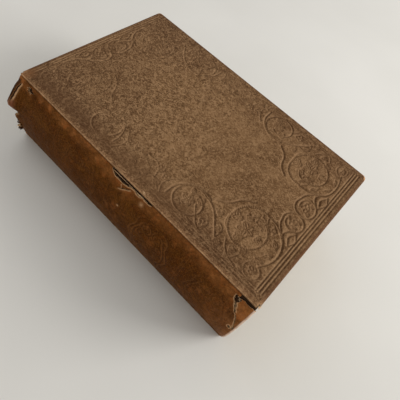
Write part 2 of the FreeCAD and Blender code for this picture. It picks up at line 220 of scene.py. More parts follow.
def spiral(centre, outer, inner, start, turns, hold, squat):
    """A spiral from the outer radius to the inner one, which stays wide the longer the higher
    hold is; turns is negative for clockwise, and squat is its height over its width."""
    t = np.linspace(0, 1, int(60 * abs(turns)) + 8)
    radius = outer + (inner - outer) * t**hold
    angle = math.radians(start) + 2 * math.pi * turns * t
    x, y = radius * np.cos(angle), squat * radius * np.sin(angle)
    return np.stack([centre[0] + x, centre[1] + y], 1)


def scroll(stem, centre, outer, inner, start, turns, hold=0.8, squat=1.0):
    """A stem that runs into a spiral."""
    coil = spiral(centre, outer, inner, start, turns, hold, squat)
    return np.vstack([curve_through(list(stem) + [coil[0]])[:-1], coil])


def leaf(centre, size, heading, lobes=5):
    """The outline and veins of a lobed leaf whose tip points along heading, in degrees."""
    turn = np.linspace(-math.pi, math.pi, 90)
    radius = size * (0.34 + 0.66 * np.abs(np.cos(lobes * turn / 2)) ** 0.8 * np.cos(turn / 2) ** 0.35)
    aim = math.radians(heading)
    outline = np.stack([radius * np.cos(turn + aim), radius * np.sin(turn + aim)], 1)
    veins = []
    for k in range(lobes):
        way = aim + (k - (lobes - 1) / 2) * 2 * math.pi / lobes * 0.95
        reach = np.linspace(0.1, 0.75, 14)[:, None] * size
        veins.append(reach * [math.cos(way), math.sin(way)])
    return [outline + centre, *(vein + centre for vein in veins)]


def bud(foot, tip, width):
    """A slim pointed leaf from foot to tip."""
    foot, tip = np.array(foot, float), np.array(tip, float)
    side = np.array([-(tip - foot)[1], (tip - foot)[0]])
    side *= width / np.linalg.norm(side)
    middle = (foot + tip) / 2
    return [
        curve_through([foot, middle + side, tip]),
        curve_through([foot, middle - side, tip]),
        curve_through([foot, tip]),
    ]


# The strokes of one quarter of the plate: u from the joint, v from the tail.
SMALL = (63.2, 15.4)
BIG = (36.0, 32.3)
MEDIUM = (19.6, 70.6)
CORNER = (14.2, 14.8)
CUSP = (34.4, 60.0)

STEMS = (
    ((36.0, 9.0), (30.0, 9.2), (24.6, 10.8), (19.4, 13.6)),
    ((54.8, 41.2), (51.2, 46.2), (47.2, 49.4), (42.0, 51.8), (37.8, 55.4), CUSP),
    ((48.2, 14.6), (51.6, 15.6), (55.8, 13.4), (58.4, 9.8)),
    ((31.6, 62.4), (32.8, 68.0), (32.2, 74.0), (28.0, 80.4), (20.6, 84.6), (12.4, 85.2)),
)
TENDRILS = (
    ((7.8, 24.0), (9.4, 30.6), (13.0, 35.4), (17.4, 38.2)),
    ((8.2, 33.0), (11.0, 29.0), (15.4, 27.0)),
    ((13.4, 44.0), (19.8, 43.6), (23.0, 46.8), (22.4, 50.8)),
    ((8.4, 52.0), (10.2, 57.4), (14.6, 61.6), (20.6, 66.4)),
    ((9.0, 64.0), (8.0, 58.0), (9.2, 53.0)),
    ((8.8, 88.0), (15.4, 91.0), (22.4, 89.2), (27.6, 85.0)),
    ((9.0, 90.0), (13.6, 96.0), (13.4, 103.4), (8.6, 109.6)),
    ((13.4, 97.6), (19.2, 99.2), (24.0, 103.4), (24.6, 109.4)),
    ((44.2, 22.4), (47.6, 26.2), (51.6, 28.2)),
    ((24.0, 43.4), (28.0, 46.6), (33.0, 47.6)),
)
BUDS = (                 # foot, tip, width
    ((40.4, 26.6), (50.8, 31.8), 1.7), ((37.0, 12.2), (41.8, 17.0), 1.5),
    ((31.4, 11.4), (26.0, 16.0), 1.3), ((8.4, 112.0), (7.6, 104.0), 1.3),
    ((22.8, 12.6), (22.2, 19.0), 1.2), ((9.4, 43.2), (8.0, 49.6), 1.2),
    ((29.6, 75.6), (25.8, 72.4), 1.2), ((50.0, 22.0), (44.0, 19.6), 1.4),
)
LEAVES = (               # centre, size, heading, lobes
    ((33.2, 33.4), 6.2, 118, 5), ((44.6, 28.6), 4.6, 15, 4), ((36.4, 43.2), 4.0, 40, 3),
    ((25.6, 34.6), 3.6, 170, 3), ((33.4, 24.4), 3.2, -100, 3), ((41.6, 36.8), 3.0, 60, 3),
    ((19.2, 71.6), 5.0, 80, 5), ((25.0, 66.0), 3.2, -30, 3), ((13.2, 75.8), 2.6, 140, 3),
    ((14.2, 14.8), 3.0, 60, 4), ((63.2, 15.6), 3.6, 70, 4), ((59.6, 12.6), 1.8, 220, 3),
    ((66.6, 12.2), 1.8, -40, 3), ((10.8, 40.6), 3.0, 80, 3), ((18.4, 46.0), 2.4, 20, 3),
    ((14.6, 54.6), 3.6, 70, 4), ((9.8, 21.0), 2.2, 90, 3), ((20.4, 26.6), 2.6, 30, 3),
    ((15.0, 31.6), 2.6, 45, 3), ((12.4, 94.0), 2.8, 60, 3), ((20.2, 92.4), 2.8, 60, 4),
    ((22.0, 99.4), 3.4, 40, 4), ((12.6, 104.0), 3.0, 100, 3), ((20.4, 107.0), 2.6, 80, 3),
    ((28.4, 52.0), 2.4, -30, 3),
)


def main_scrolls():
    """The strong stems and scrolls of one quarter."""
    to_small = [(40.0, 10.0), (45.8, 12.6), (50.8, 17.4), (55.6, 21.2)]
    to_big = [(33.0, 8.9), (41.0, 10.2), (47.6, 15.2), (52.4, 22.0)]
    to_medium = [(13.6, 44.4), (19.0, 48.8), (25.0, 53.8), (29.4, 59.6)]
    return [
        scroll(to_small, SMALL, 7.7, 4.6, 112, -1.12, 2.6),
        scroll(to_big, BIG, 17.4, 8.6, -10, 1.16, 2.3, 0.86),
        scroll(to_medium, MEDIUM, 12.2, 6.6, -16, 1.12, 2.0),
        *(curve_through(stem) for stem in STEMS),
        *bud((45.6, 8.9), (57.2, 9.4), 2.6)[:2],
    ]


def fine_sprays():
    """The leaves, buds and tendrils between the scrolls of one quarter."""
    strokes = [spiral(CORNER, 5.9, 4.4, -10, 1.0, 2.4, 1.0)]
    strokes += [curve_through(tendril) for tendril in TENDRILS]
    for numbers in LEAVES:
        strokes += leaf(*numbers)
    for numbers in BUDS:
        strokes += bud(*numbers)
    return strokes


def distance_to(strokes, a, b):
    """Distance from each lattice node (a[i], b[j]) to the nearest stroke, up to 3 mm."""
    field = np.full((len(a), len(b)), 3.0)
    reach = 3.0
    for stroke in strokes:
        for part in np.array_split(stroke, max(1, len(stroke) // 12)):
            i = np.searchsorted(a, [part[:, 0].min() - reach, part[:, 0].max() + reach])
            j = np.searchsorted(b, [part[:, 1].min() - reach, part[:, 1].max() + reach])
            da = a[i[0]:i[1], None, None] - part[None, None, :, 0]
            db = b[None, j[0]:j[1], None] - part[None, None, :, 1]
            if da.size and db.size:
                near = np.sqrt((da**2 + db**2).min(-1))
                window = field[i[0]:i[1], j[0]:j[1]]
                np.minimum(window, near, out=window)
    return field


def groove(distance, width):
    """The section of a stamped line: a rounded groove with slightly raised lips."""
    return np.exp(-((distance / width) ** 2)) - 0.2 * bell(distance, 1.9 * width, 0.6 * width)


class Stamp:
    """The stamped depth of a plate over a plane, from its strokes, on a fine lattice."""

    def __init__(self, strong, fine, extent, step=0.25):
        self.step = step
        a = np.arange(0, extent[0] + step, step)
        b = np.arange(0, extent[1] + step, step)
        self.field = np.maximum(
            groove(distance_to(strong, a, b), 0.74),
            0.72 * groove(distance_to(fine, a, b), 0.52),
        )

    def __call__(self, a, b):
        x = np.clip(a / self.step, 0, self.field.shape[0] - 1.001)
        y = np.clip(b / self.step, 0, self.field.shape[1] - 1.001)
        i, j = x.astype(int), y.astype(int)
        fx, fy = x - i, y - j
        f = self.field
        low = f[i, j] * (1 - fx) + f[i + 1, j] * fx
        high = f[i, j + 1] * (1 - fx) + f[i + 1, j + 1] * fx
        return low * (1 - fy) + high * fy


COVER_STAMP = Stamp(main_scrolls(), fine_sprays(), (COVER_WIDTH / 2, COVER_LENGTH / 2))
TAIL_RULES = ((2.3, 0.5, 0.9), (4.5, 0.55, 1.0), (6.4, 0.5, 0.95))      # inset, width, depth
SPINE_RULES = ((3.6, 0.5, 0.8), (5.8, 0.45, 0.6), (7.5, 0.45, 0.7))
FORE_RULES = ((4.5, 0.5, 0.5), (6.2, 0.5, 0.45))


def as_drawn(u, v):
    """Where a point of a cover falls on the plane that the strokes and rules were drawn on.
    They were placed under an earlier estimate of the camera, and this slight shift and skew
    brings them to where the present one shows them."""
    across, along = u / COVER_WIDTH, v / COVER_LENGTH
    return (
        u - 0.9 + 2.95 * across + along * (0.6 + 0.4 * across),
        v - 1.5 - 1.2 * across + along * (0.9 + 2.7 * across),
    )


def on_quarter(u, from_tail):
    """Where a point of that plane falls on its quarter at the spine side, which the fore side
    mirrors with its strokes a little further out and down."""
    aside = COVER_WIDTH - u
    down = smoothstep(8.5, 14, from_tail) * (3.0 - 1.2 * smoothstep(15, 50, from_tail))
    return (
        np.minimum(u, aside + 3.3 * smoothstep(70, 46, aside)),
        from_tail + down * smoothstep(50, 34, aside),
    )


def stamped(u, v):
    """Depth of the stamping on a cover, 0 to about 1, with the rules around the border."""
    u, v = as_drawn(u, v)
    from_tail = from_ends(v)
    depth = COVER_STAMP(*on_quarter(u, from_tail))
    inside = smoothstep(5.6, 6.8, u) * smoothstep(3.2, 4.2, COVER_WIDTH - u)
    for inset, width, strength in TAIL_RULES:
        depth = np.maximum(depth, strength * groove(from_tail - inset, width) * inside)
    inside = smoothstep(4.0, 5.0, from_tail) * (0.35 + 0.65 * smoothstep(85, 45, v))
    for side, rules in ((u, SPINE_RULES), (COVER_WIDTH - u, FORE_RULES)):
        for inset, width, strength in rules:
            depth = np.maximum(depth, strength * groove(side - inset, width) * inside)
    return depth


# ----------------------------------------------------------------------------- materials


class Shader:
    """A material's node tree, with short ways to add and join its nodes."""

    def __init__(self, name):
        self.material = bpy.data.materials.new(name)
        self.material.use_nodes = True
        self.tree = self.material.node_tree
        self.tree.nodes.clear()
        self.output = self.add("ShaderNodeOutputMaterial")
        self.surface = self.add("ShaderNodeBsdfPrincipled")
        self.join(self.surface.outputs[0], self.output.inputs["Surface"])
        self.coordinates = self.add("ShaderNodeTexCoord").outputs["Object"]
        self.colour = None

    def add(self, kind, **settings):
        node = self.tree.nodes.new(kind)
        for key, value in settings.items():
            setattr(node, key, value)
        return node

    def join(self, source, target):
        self.tree.links.new(source, target)

    def put(self, socket, value):
        """Joins a socket to another node's output or sets its own value."""
        if isinstance(value, bpy.types.NodeSocket):
            self.join(value, socket)
        else:
            socket.default_value = value

    def set(self, node, **inputs):
        """Sets a node's sockets: the names use _ for a space."""
        for key, value in inputs.items():
            self.put(node.inputs[key.replace("_", " ")], value)

    def noise(self, size_mm, detail=4.0, roughness=0.55, distortion=0.0, stretch=None):
        """Noise whose features are about size_mm apart, stretched per axis if asked."""
        coordinates = self.coordinates
        if stretch:
            mapping = self.add("ShaderNodeMapping")
            self.set(mapping, Vector=coordinates, Scale=stretch)
            coordinates = mapping.outputs[0]
        node = self.add("ShaderNodeTexNoise")
        self.set(
            node, Vector=coordinates, Scale=1 / (size_mm * MM), Detail=detail,
            Roughness=roughness, Distortion=distortion,
        )
        return node.outputs["Fac"]

    def mark(self, name):
        return self.add("ShaderNodeAttribute", attribute_name=name).outputs["Fac"]

    def ramp(self, factor, *stops):
        """A colour ramp; stops are (position, grey or colour)."""
        node = self.add("ShaderNodeValToRGB")
        self.join(factor, node.inputs[0])
        elements = node.color_ramp.elements
        while len(elements) < len(stops):
            elements.new(0.5)
        for element, (position, shade) in zip(elements, stops):
            element.position = position
            element.color = (*shade, 1) if isinstance(shade, tuple) else (shade, shade, shade, 1)
        return node.outputs[0]

    def mix(self, factor, first, second, blend="MIX"):
        """Two colours mixed; a colour is an output or a tuple."""
        node = self.add("ShaderNodeMix", data_type="RGBA", blend_type=blend)
        for index, value in ((0, factor), (6, first), (7, second)):
            self.put(node.inputs[index], (*value, 1) if isinstance(value, tuple) else value)
        return node.outputs[2]

    def coat(self, factor, shade, blend="MIX"):
        """Lays a shade over the material's colour so far."""
        self.colour = self.mix(factor, self.colour, shade, blend)

    def math(self, operation, first, second=0.0, clamp=False):
        node = self.add("ShaderNodeMath", operation=operation, use_clamp=clamp)
        self.put(node.inputs[0], first)
        self.put(node.inputs[1], second)
        return node.outputs[0]

    def times(self, first, second):
        return self.math("MULTIPLY", first, second)

    def share(self, name, amount):
        """A share of a mark."""
        return self.math("MULTIPLY", self.mark(name), amount, True)

    def patches(self, name, noise, *stops):
        """A mark broken up into patches by a noise."""
        return self.times(self.mark(name), self.ramp(noise, *stops))

    def thread(self, axis, pitch_mm, wobble=1.2):
        """Bands one thread wide across an axis."""
        node = self.add("ShaderNodeTexWave", bands_direction=axis)
        self.set(
            node, Vector=self.coordinates, Scale=math.pi / (10 * pitch_mm * MM),
            Distortion=wobble, Detail=2.0,
        )
        node.inputs["Detail Scale"].default_value = 0.4
        return node.outputs["Fac"]

    def bump(self, height, distance_mm, strength=1.0, under=None):
        node = self.add("ShaderNodeBump")
        self.set(node, Height=height, Distance=distance_mm * MM, Strength=strength)
        if under is not None:
            self.join(under, node.inputs["Normal"])
        return node.outputs[0]

    def finish(self, roughness, normal, **settings):
        """Gives the surface the colour so far and its other settings."""
        self.set(
            self.surface, Base_Color=self.colour, Roughness=roughness, Normal=normal, **settings
        )
        return self.material


def weave(shader, across, along, pitch_mm):
    """Height of a plain weave between two axes."""
    return shader.math("MAXIMUM", shader.thread(across, pitch_mm), shader.thread(along, pitch_mm))


def cover_cloth_material():
    """Brown book cloth: woven grain, worn lighter in blotches and rubbed to rust at the edges, with
    painted shade in the stamped lines and a painted highlight on the side of each that faces the
    key light, dirt and painted shade at the edges, darker along the joint, and painted shade at the
    head and the fore edge."""
    s = Shader("cover_cloth")
    blotch = s.noise(6.5, 6, 0.68, 0.6)
    ripple = s.noise(1.8, 4, 0.62, 1.4, stretch=(1.0, 0.75, 1.0))
    squiggle = s.ramp(s.noise(3.0, 2, 0.5, 1.7), (0.45, 0.0), (0.5, 1.0), (0.55, 0.0))
    fleck = s.noise(0.8, 4, 0.7, 0.5)
    grain = weave(s, "X", "Y", 0.62)
    calm = s.ramp(s.mark("crisp"), (0.4, 1.0), (0.95, 0.6))
    calm = s.times(calm, s.math("SUBTRACT", 1.0, s.mark("plain")))
    s.colour = s.ramp(
        s.noise(30, 5, 0.62, 0.4), (0.34, (0.099, 0.048, 0.0185)), (0.5, (0.136, 0.07, 0.029)),
        (0.66, (0.195, 0.107, 0.048)),
    )
    s.coat(s.ramp(blotch, (0.5, 0.0), (0.74, 0.6)), (0.25, 0.145, 0.07))
    s.coat(s.ramp(s.noise(4.2, 6, 0.72, 0.8), (0.3, 0.5), (0.46, 0.0)), (0.1, 0.047, 0.018))
    # The shade mark: darker along the joint, and painted shade at the head and the fore edge.
    s.coat(s.share("shade", 0.75), (0.085, 0.037, 0.016))
    s.coat(s.times(s.ramp(ripple, (0.38, 0.8), (0.49, 0.0)), calm), (0.055, 0.025, 0.009))
    s.coat(s.times(s.ramp(ripple, (0.505, 0.0), (0.6, 0.92)), calm), (0.31, 0.184, 0.091))
    stroke = s.times(squiggle, s.ramp(blotch, (0.4, 0.15), (0.58, 1.0)))
    s.coat(s.times(stroke, calm), (0.33, 0.2, 0.102))
    s.coat(s.times(s.ramp(fleck, (0.55, 0.0), (0.68, 0.7)), calm), (0.36, 0.22, 0.114))
    s.coat(s.share("shade", 0.3), (0.05, 0.022, 0.009))
    s.coat(0.25, s.ramp(grain, (0.25, 0.42), (0.9, 0.72)), "OVERLAY")
    # Painted shade in the stamped lines and on the flank of each that turns from the key light; painted
    # highlight on the flank that faces it.
    s.coat(s.share("painted_groove_shade", 0.88), (0.055, 0.024, 0.009))
    s.coat(s.share("lip", 0.85), (0.37, 0.225, 0.118))
    # Dirt and painted shade at the edges; painted shade in the crease inside the bumped corner.
    s.coat(s.share("dirt_and_painted_shade", 0.7), (0.085, 0.034, 0.016))
    s.coat(s.patches("wear_and_painted_light", s.noise(2.6, 5, 0.7), (0.3, 0.35), (0.62, 1.0)), (0.24, 0.105, 0.042))
    s.coat(s.patches("bare", s.noise(1.6, 4, 0.7), (0.36, 0.35), (0.6, 1.0)), (0.64, 0.37, 0.185))
    normal = s.bump(s.noise(3.2, 4, 0.6), 0.2, 0.8)
    normal = s.bump(s.times(ripple, calm), 0.42, 0.9, normal)
    normal = s.bump(s.math("ADD", s.times(grain, 0.6), s.times(fleck, 0.8)), 0.1, 0.8, normal)
    return s.finish(s.ramp(blotch, (0.3, 0.7), (0.7, 0.85)), normal, Specular_IOR_Level=0.06)


def spine_cloth_material():
    """The same cloth on the back, darker, redder and polished by handling."""
    s = Shader("spine_cloth")
    speckle = s.noise(0.9, 5, 0.75, 0.6)
    patchy = s.mix(0.45, s.noise(4.5, 5, 0.65, 0.8), s.noise(1.4, 5, 0.75, 0.8))
    grain = weave(s, "Z", "Y", 0.62)
    broad = s.noise(20, 6, 0.65, 0.8, stretch=(1.0, 0.6, 1.0))
    s.colour = s.ramp(
        broad, (0.34, (0.066, 0.0205, 0.002)), (0.5, (0.088, 0.029, 0.003)),
        (0.66, (0.118, 0.042, 0.005)),
    )
    rust = s.ramp(s.noise(5.5, 6, 0.72, 0.8), (0.48, 0.0), (0.66, 0.8))
    s.coat(s.times(rust, s.math("ADD", s.mark("wear_and_painted_light"), 0.2, True)), (0.3, 0.07, 0.01))
    s.coat(s.ramp(s.noise(3.0, 6, 0.72, 0.8), (0.34, 0.75), (0.48, 0.0)), (0.046, 0.0135, 0.0018))
    s.coat(s.ramp(speckle, (0.36, 0.8), (0.49, 0.0)), (0.035, 0.009, 0.002))
    s.coat(s.ramp(speckle, (0.52, 0.0), (0.64, 0.62)), (0.23, 0.084, 0.018))
    # Wear and painted light, strongest in the strip along the front joint where the back faces upward.
    s.coat(s.patches("wear_and_painted_light", patchy, (0.34, 0.1), (0.66, 0.85)), (0.42, 0.162, 0.048))
    s.coat(0.25, s.ramp(grain, (0.25, 0.42), (0.9, 0.68)), "OVERLAY")
    # Painted shade in the worn stamping and on its flanks turned from the key light; painted highlight on
    # the flanks that face it.
    s.coat(s.share("painted_groove_shade", 0.65), (0.035, 0.013, 0.004))
    s.coat(s.share("lip", 0.6), (0.27, 0.12, 0.042))
    s.coat(s.patches("bare", s.noise(1.5, 4, 0.7), (0.3, 0.5), (0.6, 1.0)), (0.62, 0.37, 0.19))
    s.coat(s.share("rim", 0.85), (0.92, 0.7, 0.55))
    s.coat(s.patches("red", s.noise(1.8, 5, 0.7), (0.35, 0.25), (0.6, 0.9)), (0.25, 0.095, 0.05))
    # Painted shade on the lifted head cap above its slit; it also darkens the hanging scraps.
    s.coat(s.share("grime_and_painted_shade", 0.8), (0.03, 0.016, 0.01))
    normal = s.bump(s.noise(6.0, 4, 0.6, 0.5), 0.6, 0.8)
    normal = s.bump(s.noise(1.6, 4, 0.65), 0.25, 0.9, normal)
    normal = s.bump(speckle, 0.15, 0.8, normal)
    rough = s.ramp(s.noise(4.0, 4, 0.6), (0.3, 0.45), (0.7, 0.65))
    return s.finish(rough, normal, Specular_IOR_Level=0.03)


def fibre_material(name, light, dark, pitch_mm):
    """Cloth or thread of undyed fibre, soiled in patches."""
    s = Shader(name)
    s.colour = s.ramp(s.noise(3.5, 5, 0.7), (0.34, dark), (0.62, light))
    grain = weave(s, "Y", "Z", pitch_mm)
    s.coat(0.4, s.ramp(grain, (0.2, 0.35), (0.9, 0.7)), "OVERLAY")
    return s.finish(0.9, s.bump(grain, 0.08, 0.9), Specular_IOR_Level=0.08)


def paper_material(name, light, dark, foxing=0.5):
    """Old paper: toned in broad patches, foxed, with a fibrous tooth."""
    s = Shader(name)
    s.colour = s.ramp(s.noise(40, 4, 0.55, 0.3), (0.3, dark), (0.68, light))
    s.coat(s.ramp(s.noise(5.5, 3, 0.6), (0.68, 0.0), (0.78, foxing)), (0.36, 0.19, 0.08))
    fibres = s.noise(0.5, 3, 0.7, stretch=(1.0, 0.35, 3.0))
    s.coat(0.18, fibres, "OVERLAY")
    return s.finish(0.86, s.bump(fibres, 0.03, 0.8), Specular_IOR_Level=0.25)


def board_material(name, light, dark):
    """Grey-brown millboard or card with flecks of rope fibre."""
    s = Shader(name)
    s.colour = s.ramp(s.noise(2.5, 6, 0.75), (0.35, dark), (0.65, light))
    flecks = s.ramp(s.noise(0.7, 3, 0.7, stretch=(1.0, 0.3, 1.0)), (0.62, 0.0), (0.72, 0.7))
    s.coat(flecks, tuple(0.45 * c for c in dark))
    # Painted shade on the card where it lies in shadow under torn cloth and inside the joint bead.
    s.coat(s.mark("grime_and_painted_shade"), (0.04, 0.018, 0.008))
    return s.finish(0.92, s.bump(s.noise(0.9, 5, 0.7), 0.15, 0.9), Specular_IOR_Level=0.1)


def band_material():
    """Silk wound over the headband's core in stripes of two faded colours."""
    s = Shader("band_silk")
    stripe = s.ramp(s.mark("stripe"), (0.44, 0.0), (0.56, 1.0))
    s.colour = s.mix(stripe, (0.36, 0.09, 0.05), (0.55, 0.44, 0.26))
    s.coat(s.ramp(s.noise(1.8, 5, 0.7), (0.35, 0.6), (0.55, 0.0)), (0.16, 0.09, 0.05))
    normal = s.bump(s.noise(0.25, 3, 0.6), 0.04, 0.7)
    return s.finish(0.55, normal, Sheen_Weight=0.3, Specular_IOR_Level=0.45)


COVER_CLOTH = cover_cloth_material()
SPINE_CLOTH = spine_cloth_material()
TORN_EDGE = fibre_material("torn_edge", (0.6, 0.37, 0.19), (0.3, 0.15, 0.06), 0.35)
FRAY = fibre_material("fray_thread", (0.9, 0.6, 0.35), (0.68, 0.4, 0.2), 0.3)
BOARD = board_material("millboard", (0.36, 0.27, 0.18), (0.22, 0.16, 0.1))
INLAY = board_material("inlay_card", (0.3, 0.2, 0.11), (0.15, 0.09, 0.045))
ENDPAPER = paper_material("endpaper", (0.62, 0.52, 0.37), (0.55, 0.44, 0.3))
TEXT_PAPER = paper_material("text_paper", (0.6, 0.49, 0.33), (0.51, 0.395, 0.25), 0.35)
LINING = paper_material("lining_paper", (0.34, 0.25, 0.15), (0.22, 0.15, 0.08))
MULL = fibre_material("mull", (0.5, 0.41, 0.28), (0.34, 0.25, 0.15), 0.9)
TAPE = fibre_material("tape", (0.6, 0.52, 0.38), (0.42, 0.34, 0.22), 0.6)
THREAD = fibre_material("linen_thread", (0.62, 0.54, 0.4), (0.44, 0.36, 0.24), 0.3)
BAND = band_material()


def dress(material, *nodes):
    """Gives CAD nodes a material."""
    for node in nodes:
        NODES[node].data.materials.clear()
        NODES[node].data.materials.append(material)


# -------------------------------------------------------------------------------- covers

CORNER_ROUND = 3.4        # board corners at the fore edge
EDGE_ROUND = 1.6          # where the cloth turns over the board's outer edge
INNER_ROUND = 0.6
TURN_IN = 12.0
STAMP_DEPTH = 0.78
CLOTH_LIFT = 0.45         # how far the cloth's face stands off the board, so grooves clear it
PROUD_BEAD = 0.05
FLANK = (0.09, 0.43)     # how far apart, in u and v, the flanks of a stamped line are sampled, along the way the key light falls, for their painted highlight and shade


def edge_profile(reach):
    """Where cloth lies at this distance along it from the start of the rounded border: how
    far out from the corner centres, and how far down from the outer face."""
    flat = CORNER_ROUND - EDGE_ROUND
    lengths = [
        flat, EDGE_ROUND * math.pi / 2, CASE_THICKNESS - EDGE_ROUND - INNER_ROUND,
        INNER_ROUND * math.pi / 2,
    ]
    ends = np.cumsum(lengths)
    over = np.clip((reach - ends[0]) / EDGE_ROUND, 0, math.pi / 2)
    side = np.clip(reach - ends[1], 0, lengths[2])
    under = np.clip((reach - ends[2]) / INNER_ROUND, 0, math.pi / 2)
    back = np.clip(reach - ends[3], 0, None)
    out = np.minimum(reach, flat) + EDGE_ROUND * np.sin(over)
    out = out - INNER_ROUND * (1 - np.cos(under)) - back
    down = EDGE_ROUND * (1 - np.cos(over)) + side + INNER_ROUND * np.sin(under)
    return out, down, ends


def edge_samples():
    """Distances along the cloth at which the border has a row of points."""
    _, _, ends = edge_profile(np.zeros(1))
    return np.concatenate([
        np.arange(0.4, ends[0], 0.4), np.linspace(ends[0], ends[1], 5),
        np.linspace(ends[1], ends[2], 5)[1:], np.linspace(ends[2], ends[3], 4)[1:],
        ends[3] + np.array([0.8, 2.0, 3.5, 6.0, 9.0, TURN_IN]),
    ])


def joint_profile():
    """The cloth's path at the spine side, from the inner face round the bead to the outer
    face: (u, down) for each point."""
    turn = np.radians(np.linspace(300, 90, 19))
    round_u = BEAD_RADIUS + BEAD_RADIUS * np.cos(turn)
    round_down = BEAD_RADIUS - BEAD_RADIUS * np.sin(turn)
    inner = [(6.0, CASE_THICKNESS), (3.4, CASE_THICKNESS), (2.3, CASE_THICKNESS - 0.2)]
    over_u = np.arange(1.55, 3.6, 0.35)
    over_down = 0.18 * bell(over_u, 2.5, 0.6)
    path = inner + list(zip(round_u, round_down)) + list(zip(over_u, over_down))
    return np.array(path)


def cover_shade(x, y, seed):
    """Where a cover is darker: along the joint, and painted shade at the head and towards the fore edge,
    broken up by noise.
    """
    shade = 0.75 * smoothstep(34, 4, x) + 0.62 * smoothstep(115, 200, y)
    shade = shade + 0.6 * smoothstep(95, 138, x)
    return np.clip(shade + 0.45 * fbm(x, y, 45, seed + 21, 3) - 0.1, 0, 1)


def cover_lines(joint, step):
    """Rows of points from the joint to the fore edge and from the tail to the head: where each
    leaves the flat of the cover, and how far it lies past that along the rounded border."""
    border = edge_samples()
    fore = COVER_WIDTH - CORNER_ROUND
    inner_u = np.arange(joint[-1, 0] + step, fore, step)
    base_u = np.concatenate([joint[:, 0], inner_u, np.full(len(border) + 1, fore)])
    past_u = np.pad(border, (len(base_u) - len(border), 0))
    inner_v = np.linspace(CORNER_ROUND, COVER_LENGTH - CORNER_ROUND, int(COVER_LENGTH / step))
    base_v = np.pad(inner_v, len(border), mode="edge")
    past_v = np.concatenate([-border[::-1], np.zeros(len(inner_v)), border])
    return base_u, past_u, base_v, past_v


class CoverSheet:
    """A cover's cloth on a grid of points: where each point lies (x and y like u and v), and
    which part of the cover it belongs to."""

    def __init__(self, step, seed):
        joint = joint_profile()
        base_u, past_u, base_v, past_v = cover_lines(joint, step)
        u, v = np.meshgrid(base_u, base_v, indexing="ij")
        self.a, self.b = np.meshgrid(past_u, past_v, indexing="ij")
        self.reach = np.hypot(self.a, self.b)
        self.out, self.fall, self.ends = edge_profile(self.reach)
        safe = np.maximum(self.reach, 1e-9)
        self.x = u + self.out * self.a / safe
        self.y = v + self.out * self.b / safe
        self.from_end = from_ends(self.y)
        joint_down = np.pad(joint[:, 1], (0, len(base_u) - len(joint)))
        self.joint_down = np.broadcast_to(joint_down[:, None], u.shape)
        self.on_joint = np.broadcast_to((np.arange(len(base_u)) < len(joint))[:, None], u.shape)
        self.is_bead = (u <= BEAD_RADIUS + 0.05) & (self.a == 0)
        self.on_face = smoothstep(self.ends[1], self.ends[0] - 0.6, self.reach)
        self.on_side = smoothstep(self.ends[2] + 1, self.ends[1], self.reach)
        self.seed = seed
        self.fray = fbm(self.x, self.y, 5.0, seed + 13)


def cover_stamping(sheet):
    """How sharp the stamping still is, its depth, and how far each flank faces the light."""
    x, y = sheet.x, np.clip(sheet.y, 0, COVER_LENGTH)
    crisp = 0.45 + 0.55 * smoothstep(150, 60, sheet.y) + 0.18 * fbm(x, sheet.y, 30, sheet.seed)
    crisp = np.clip(crisp * (0.75 + 0.25 * smoothstep(3, 16, x)), 0.2, 1.1)
    depth = stamped(x, y) * sheet.on_face * ~sheet.is_bead * crisp
    light_facing_flank = stamped(x + FLANK[0], y - FLANK[1]) - stamped(x - FLANK[0], y + FLANK[1])
    broken = np.clip(0.8 + 1.3 * (1.3 - crisp) * fbm(x, sheet.y, 7.0, sheet.seed + 3), 0, 1.5)
    light_facing_flank = light_facing_flank * sheet.on_face * ~sheet.is_bead * (0.25 + 0.75 * crisp) * broken
    return crisp, depth, light_facing_flank


def cover_down(sheet, depth):
    """How far each point lies under the cover's outer face."""
    x, y, seed = sheet.x, sheet.y, sheet.seed
    lumps = 0.10 * fbm(x, y, 26, seed + 5) + 0.05 * fbm(x, y, 3.2, seed + 9, 3)
    lift = (CLOTH_LIFT + lumps * 0.35) * smoothstep(2.5, 9.0, x)
    down = sheet.fall + sheet.joint_down + STAMP_DEPTH * depth - lift * sheet.on_face * ~sheet.is_bead
    return down - PROUD_BEAD * sheet.is_bead * bell(sheet.joint_down, 0, 0.8)


def cover_wear(sheet):
    """Where the cover is rubbed and worn bare, where dirt and painted shade darken its edges, and where
    painted shade darkens the crease inside the bumped corner.
    """
    x, fray, reach, ends = sheet.x, sheet.fray, sheet.reach, sheet.ends
    worn_corner = smoothstep(9, 0, np.hypot(COVER_WIDTH - x, sheet.from_end))
    rounded = smoothstep(ends[0] - 0.8, ends[1], reach) * sheet.on_side
    wear_and_painted_light = np.clip(rounded * (0.3 + 0.5 * fray) + 0.7 * worn_corner * rounded, 0, 1)
    wear_and_painted_light = np.maximum(wear_and_painted_light, smoothstep(6, 0, x) * 0.14 * (1 + fray))
    head_corner = smoothstep(13, 3, np.hypot(0.8 * x, COVER_LENGTH - sheet.y))
    wear_and_painted_light = np.maximum(wear_and_painted_light, head_corner * (0.75 + 0.6 * fray) * sheet.on_face)

    bead_line = np.clip(bell(sheet.joint_down, 0.5, 0.32) * (0.95 + 0.55 * fray), 0, 1)
    near_joint_end = smoothstep(9, 2, np.hypot(x, sheet.from_end)) * (reach > 1.0)
    bumped = smoothstep(0.42, 0.58, worn_corner)
    bumped_side = bumped * smoothstep(1.3, 2.0, reach) * sheet.on_side * (0.9 + 0.5 * fray)
    bare = np.maximum(np.where(sheet.is_bead, bead_line, 0.0), near_joint_end * 0.5)
    bare = np.maximum(bare, bumped_side)

    # Dirt and painted shade along the fore edge and the ends; painted shade in the crease just inside the
    # bumped corner.
    border = smoothstep(3.0, 1.4, np.minimum(COVER_WIDTH - x, sheet.from_end))
    crease = bumped * bell(reach, 0.8, 0.5)
    return wear_and_painted_light, bare, np.maximum(border * (0.85 + 0.5 * fray), 1.3 * crease)


